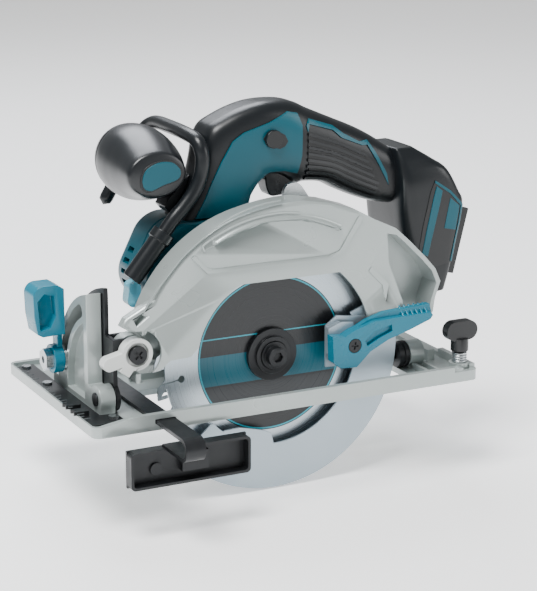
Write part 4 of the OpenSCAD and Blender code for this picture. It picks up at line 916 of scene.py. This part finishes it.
# Half a tick's width, its distance from the edge, its height and its depth in the strip, in mm
TICK_HALF, TICK_INSET, TICK_PROUD, TICK_ROOT = 0.12, 0.8, 0.08, 0.4
ticks = []
for k, y in enumerate(np.arange(ruler_low[1] + 6, ruler_high[1] - 4, 5.0)):
    start, long = ruler_low[0] + TICK_INSET, 2.6 if k % 2 else 4.6
    ticks.append(((start, start + long), (y - TICK_HALF, y + TICK_HALF),
                  (ruler_high[2] - TICK_ROOT, ruler_high[2] + TICK_PROUD)))
marks = box_set("ruler_ticks", ticks)
settle(marks, "base", grained("screen_printed_ink_grey", "#5c6163", "#54595b", 0.5),
       slot="light_plastic")

# %% [markdown]
# ## Studio
# A plain pale floor that glows a little, so that it stays white and lifts the shadows, with a large
# soft lamp overhead, a weak one in front on the right and a cool one behind. Large lamps give
# broad, soft-edged highlights that show how a surface curves. The floor lies just under the lowest
# point of the saw, and reaches far enough to fill the view.

# %% Floor and lamps
FLOOR_REACH, FLOOR_BELOW = 12.0, 0.001
floor_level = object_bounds()[0][2] - FLOOR_BELOW
floor_mesh = bpy.data.meshes.new("floor")
floor_mesh.from_pydata([(x * FLOOR_REACH, y * FLOOR_REACH, floor_level)
                        for x, y in ((-1, -1), (1, -1), (1, 1), (-1, 1))], [], [(0, 1, 2, 3)])
floor = linked("floor", floor_mesh)
table = grained("studio_floor_matt_white", "#f4f4f4", "#f1f1f1", 0.9, 0.02,
                Emission_Color=linear("#ffffff"), Emission_Strength=0.55)
floor.data.materials.append(table)

# The sky lights the saw with one strength and is seen with another, as bright as the floor
SKY_LIGHT, SKY_SEEN = 0.36, 1.15
world = bpy.context.scene.world or bpy.data.worlds.new("studio")
bpy.context.scene.world = world
world.use_nodes = True
world.node_tree.nodes["Background"].inputs["Color"].default_value = linear("#f7f9fa")
seen_directly = add(world.node_tree, "ShaderNodeLightPath").outputs["Is Camera Ray"]
sky = add(world.node_tree, "ShaderNodeMapRange", Value=seen_directly, To_Min=SKY_LIGHT,
          To_Max=SKY_SEEN)
world.node_tree.links.new(sky.outputs["Result"],
                          world.node_tree.nodes["Background"].inputs["Strength"])


def lamp(name, where, target, size, power_watts, colour="#ffffff"):
    """A square area lamp of the given size (m) that faces the target."""
    light = bpy.data.lights.new(name, "AREA")
    light.size = size
    light.energy = power_watts
    light.color = linear(colour)[:3]
    thing = linked(name, light)
    thing.location = where
    aim = Vector(target) - Vector(where)
    thing.rotation_euler = aim.to_track_quat("-Z", "Y").to_euler()
    return thing


CENTRE = (0.0, 0.0, 0.06)
lamp("key_lamp", (-0.6, -0.35, 1.5), CENTRE, 0.7, 46)
lamp("fill_lamp", (1.2, -1.0, 0.5), CENTRE, 0.7, 7)
lamp("back_lamp", (0.2, 1.2, 1.4), CENTRE, 1.0, 30, "#f4f8ff")

# %% [markdown]
# ## Camera
# The camera stands 1.3 m away, in front of the saw and to its blade side, a little above it, with
# a long lens, as for a catalogue picture. Its direction is worked out from an azimuth and an
# elevation, and it looks straight along that direction.

# %% Camera
AZIMUTH, ELEVATION, DISTANCE = np.radians(-26.6), np.radians(15.2), 1.3
LENS_MM, SENSOR_MM = 121.6, 36
# How far the view's centre lies to the left of the spindle and above it, in metres
VIEW_LEFT, VIEW_UP = 0.0009, 0.0373
back = np.array([np.sin(AZIMUTH) * np.cos(ELEVATION), -np.cos(AZIMUTH) * np.cos(ELEVATION),
                 np.sin(ELEVATION)])
right = np.array([np.cos(AZIMUTH), np.sin(AZIMUTH), 0.0])
upward = np.cross(back, right)
camera_data = bpy.data.cameras.new("camera")
camera_data.lens = LENS_MM
camera_data.sensor_width = SENSOR_MM
camera_data.dof.use_dof = False
camera = linked("camera", camera_data)
camera.location = (place((0, 0, 0)) + back * DISTANCE - right * VIEW_LEFT
                   + upward * VIEW_UP).tolist()
camera.rotation_euler = Vector((-back).tolist()).to_track_quat("-Z", "Y").to_euler()
bpy.context.scene.camera = camera
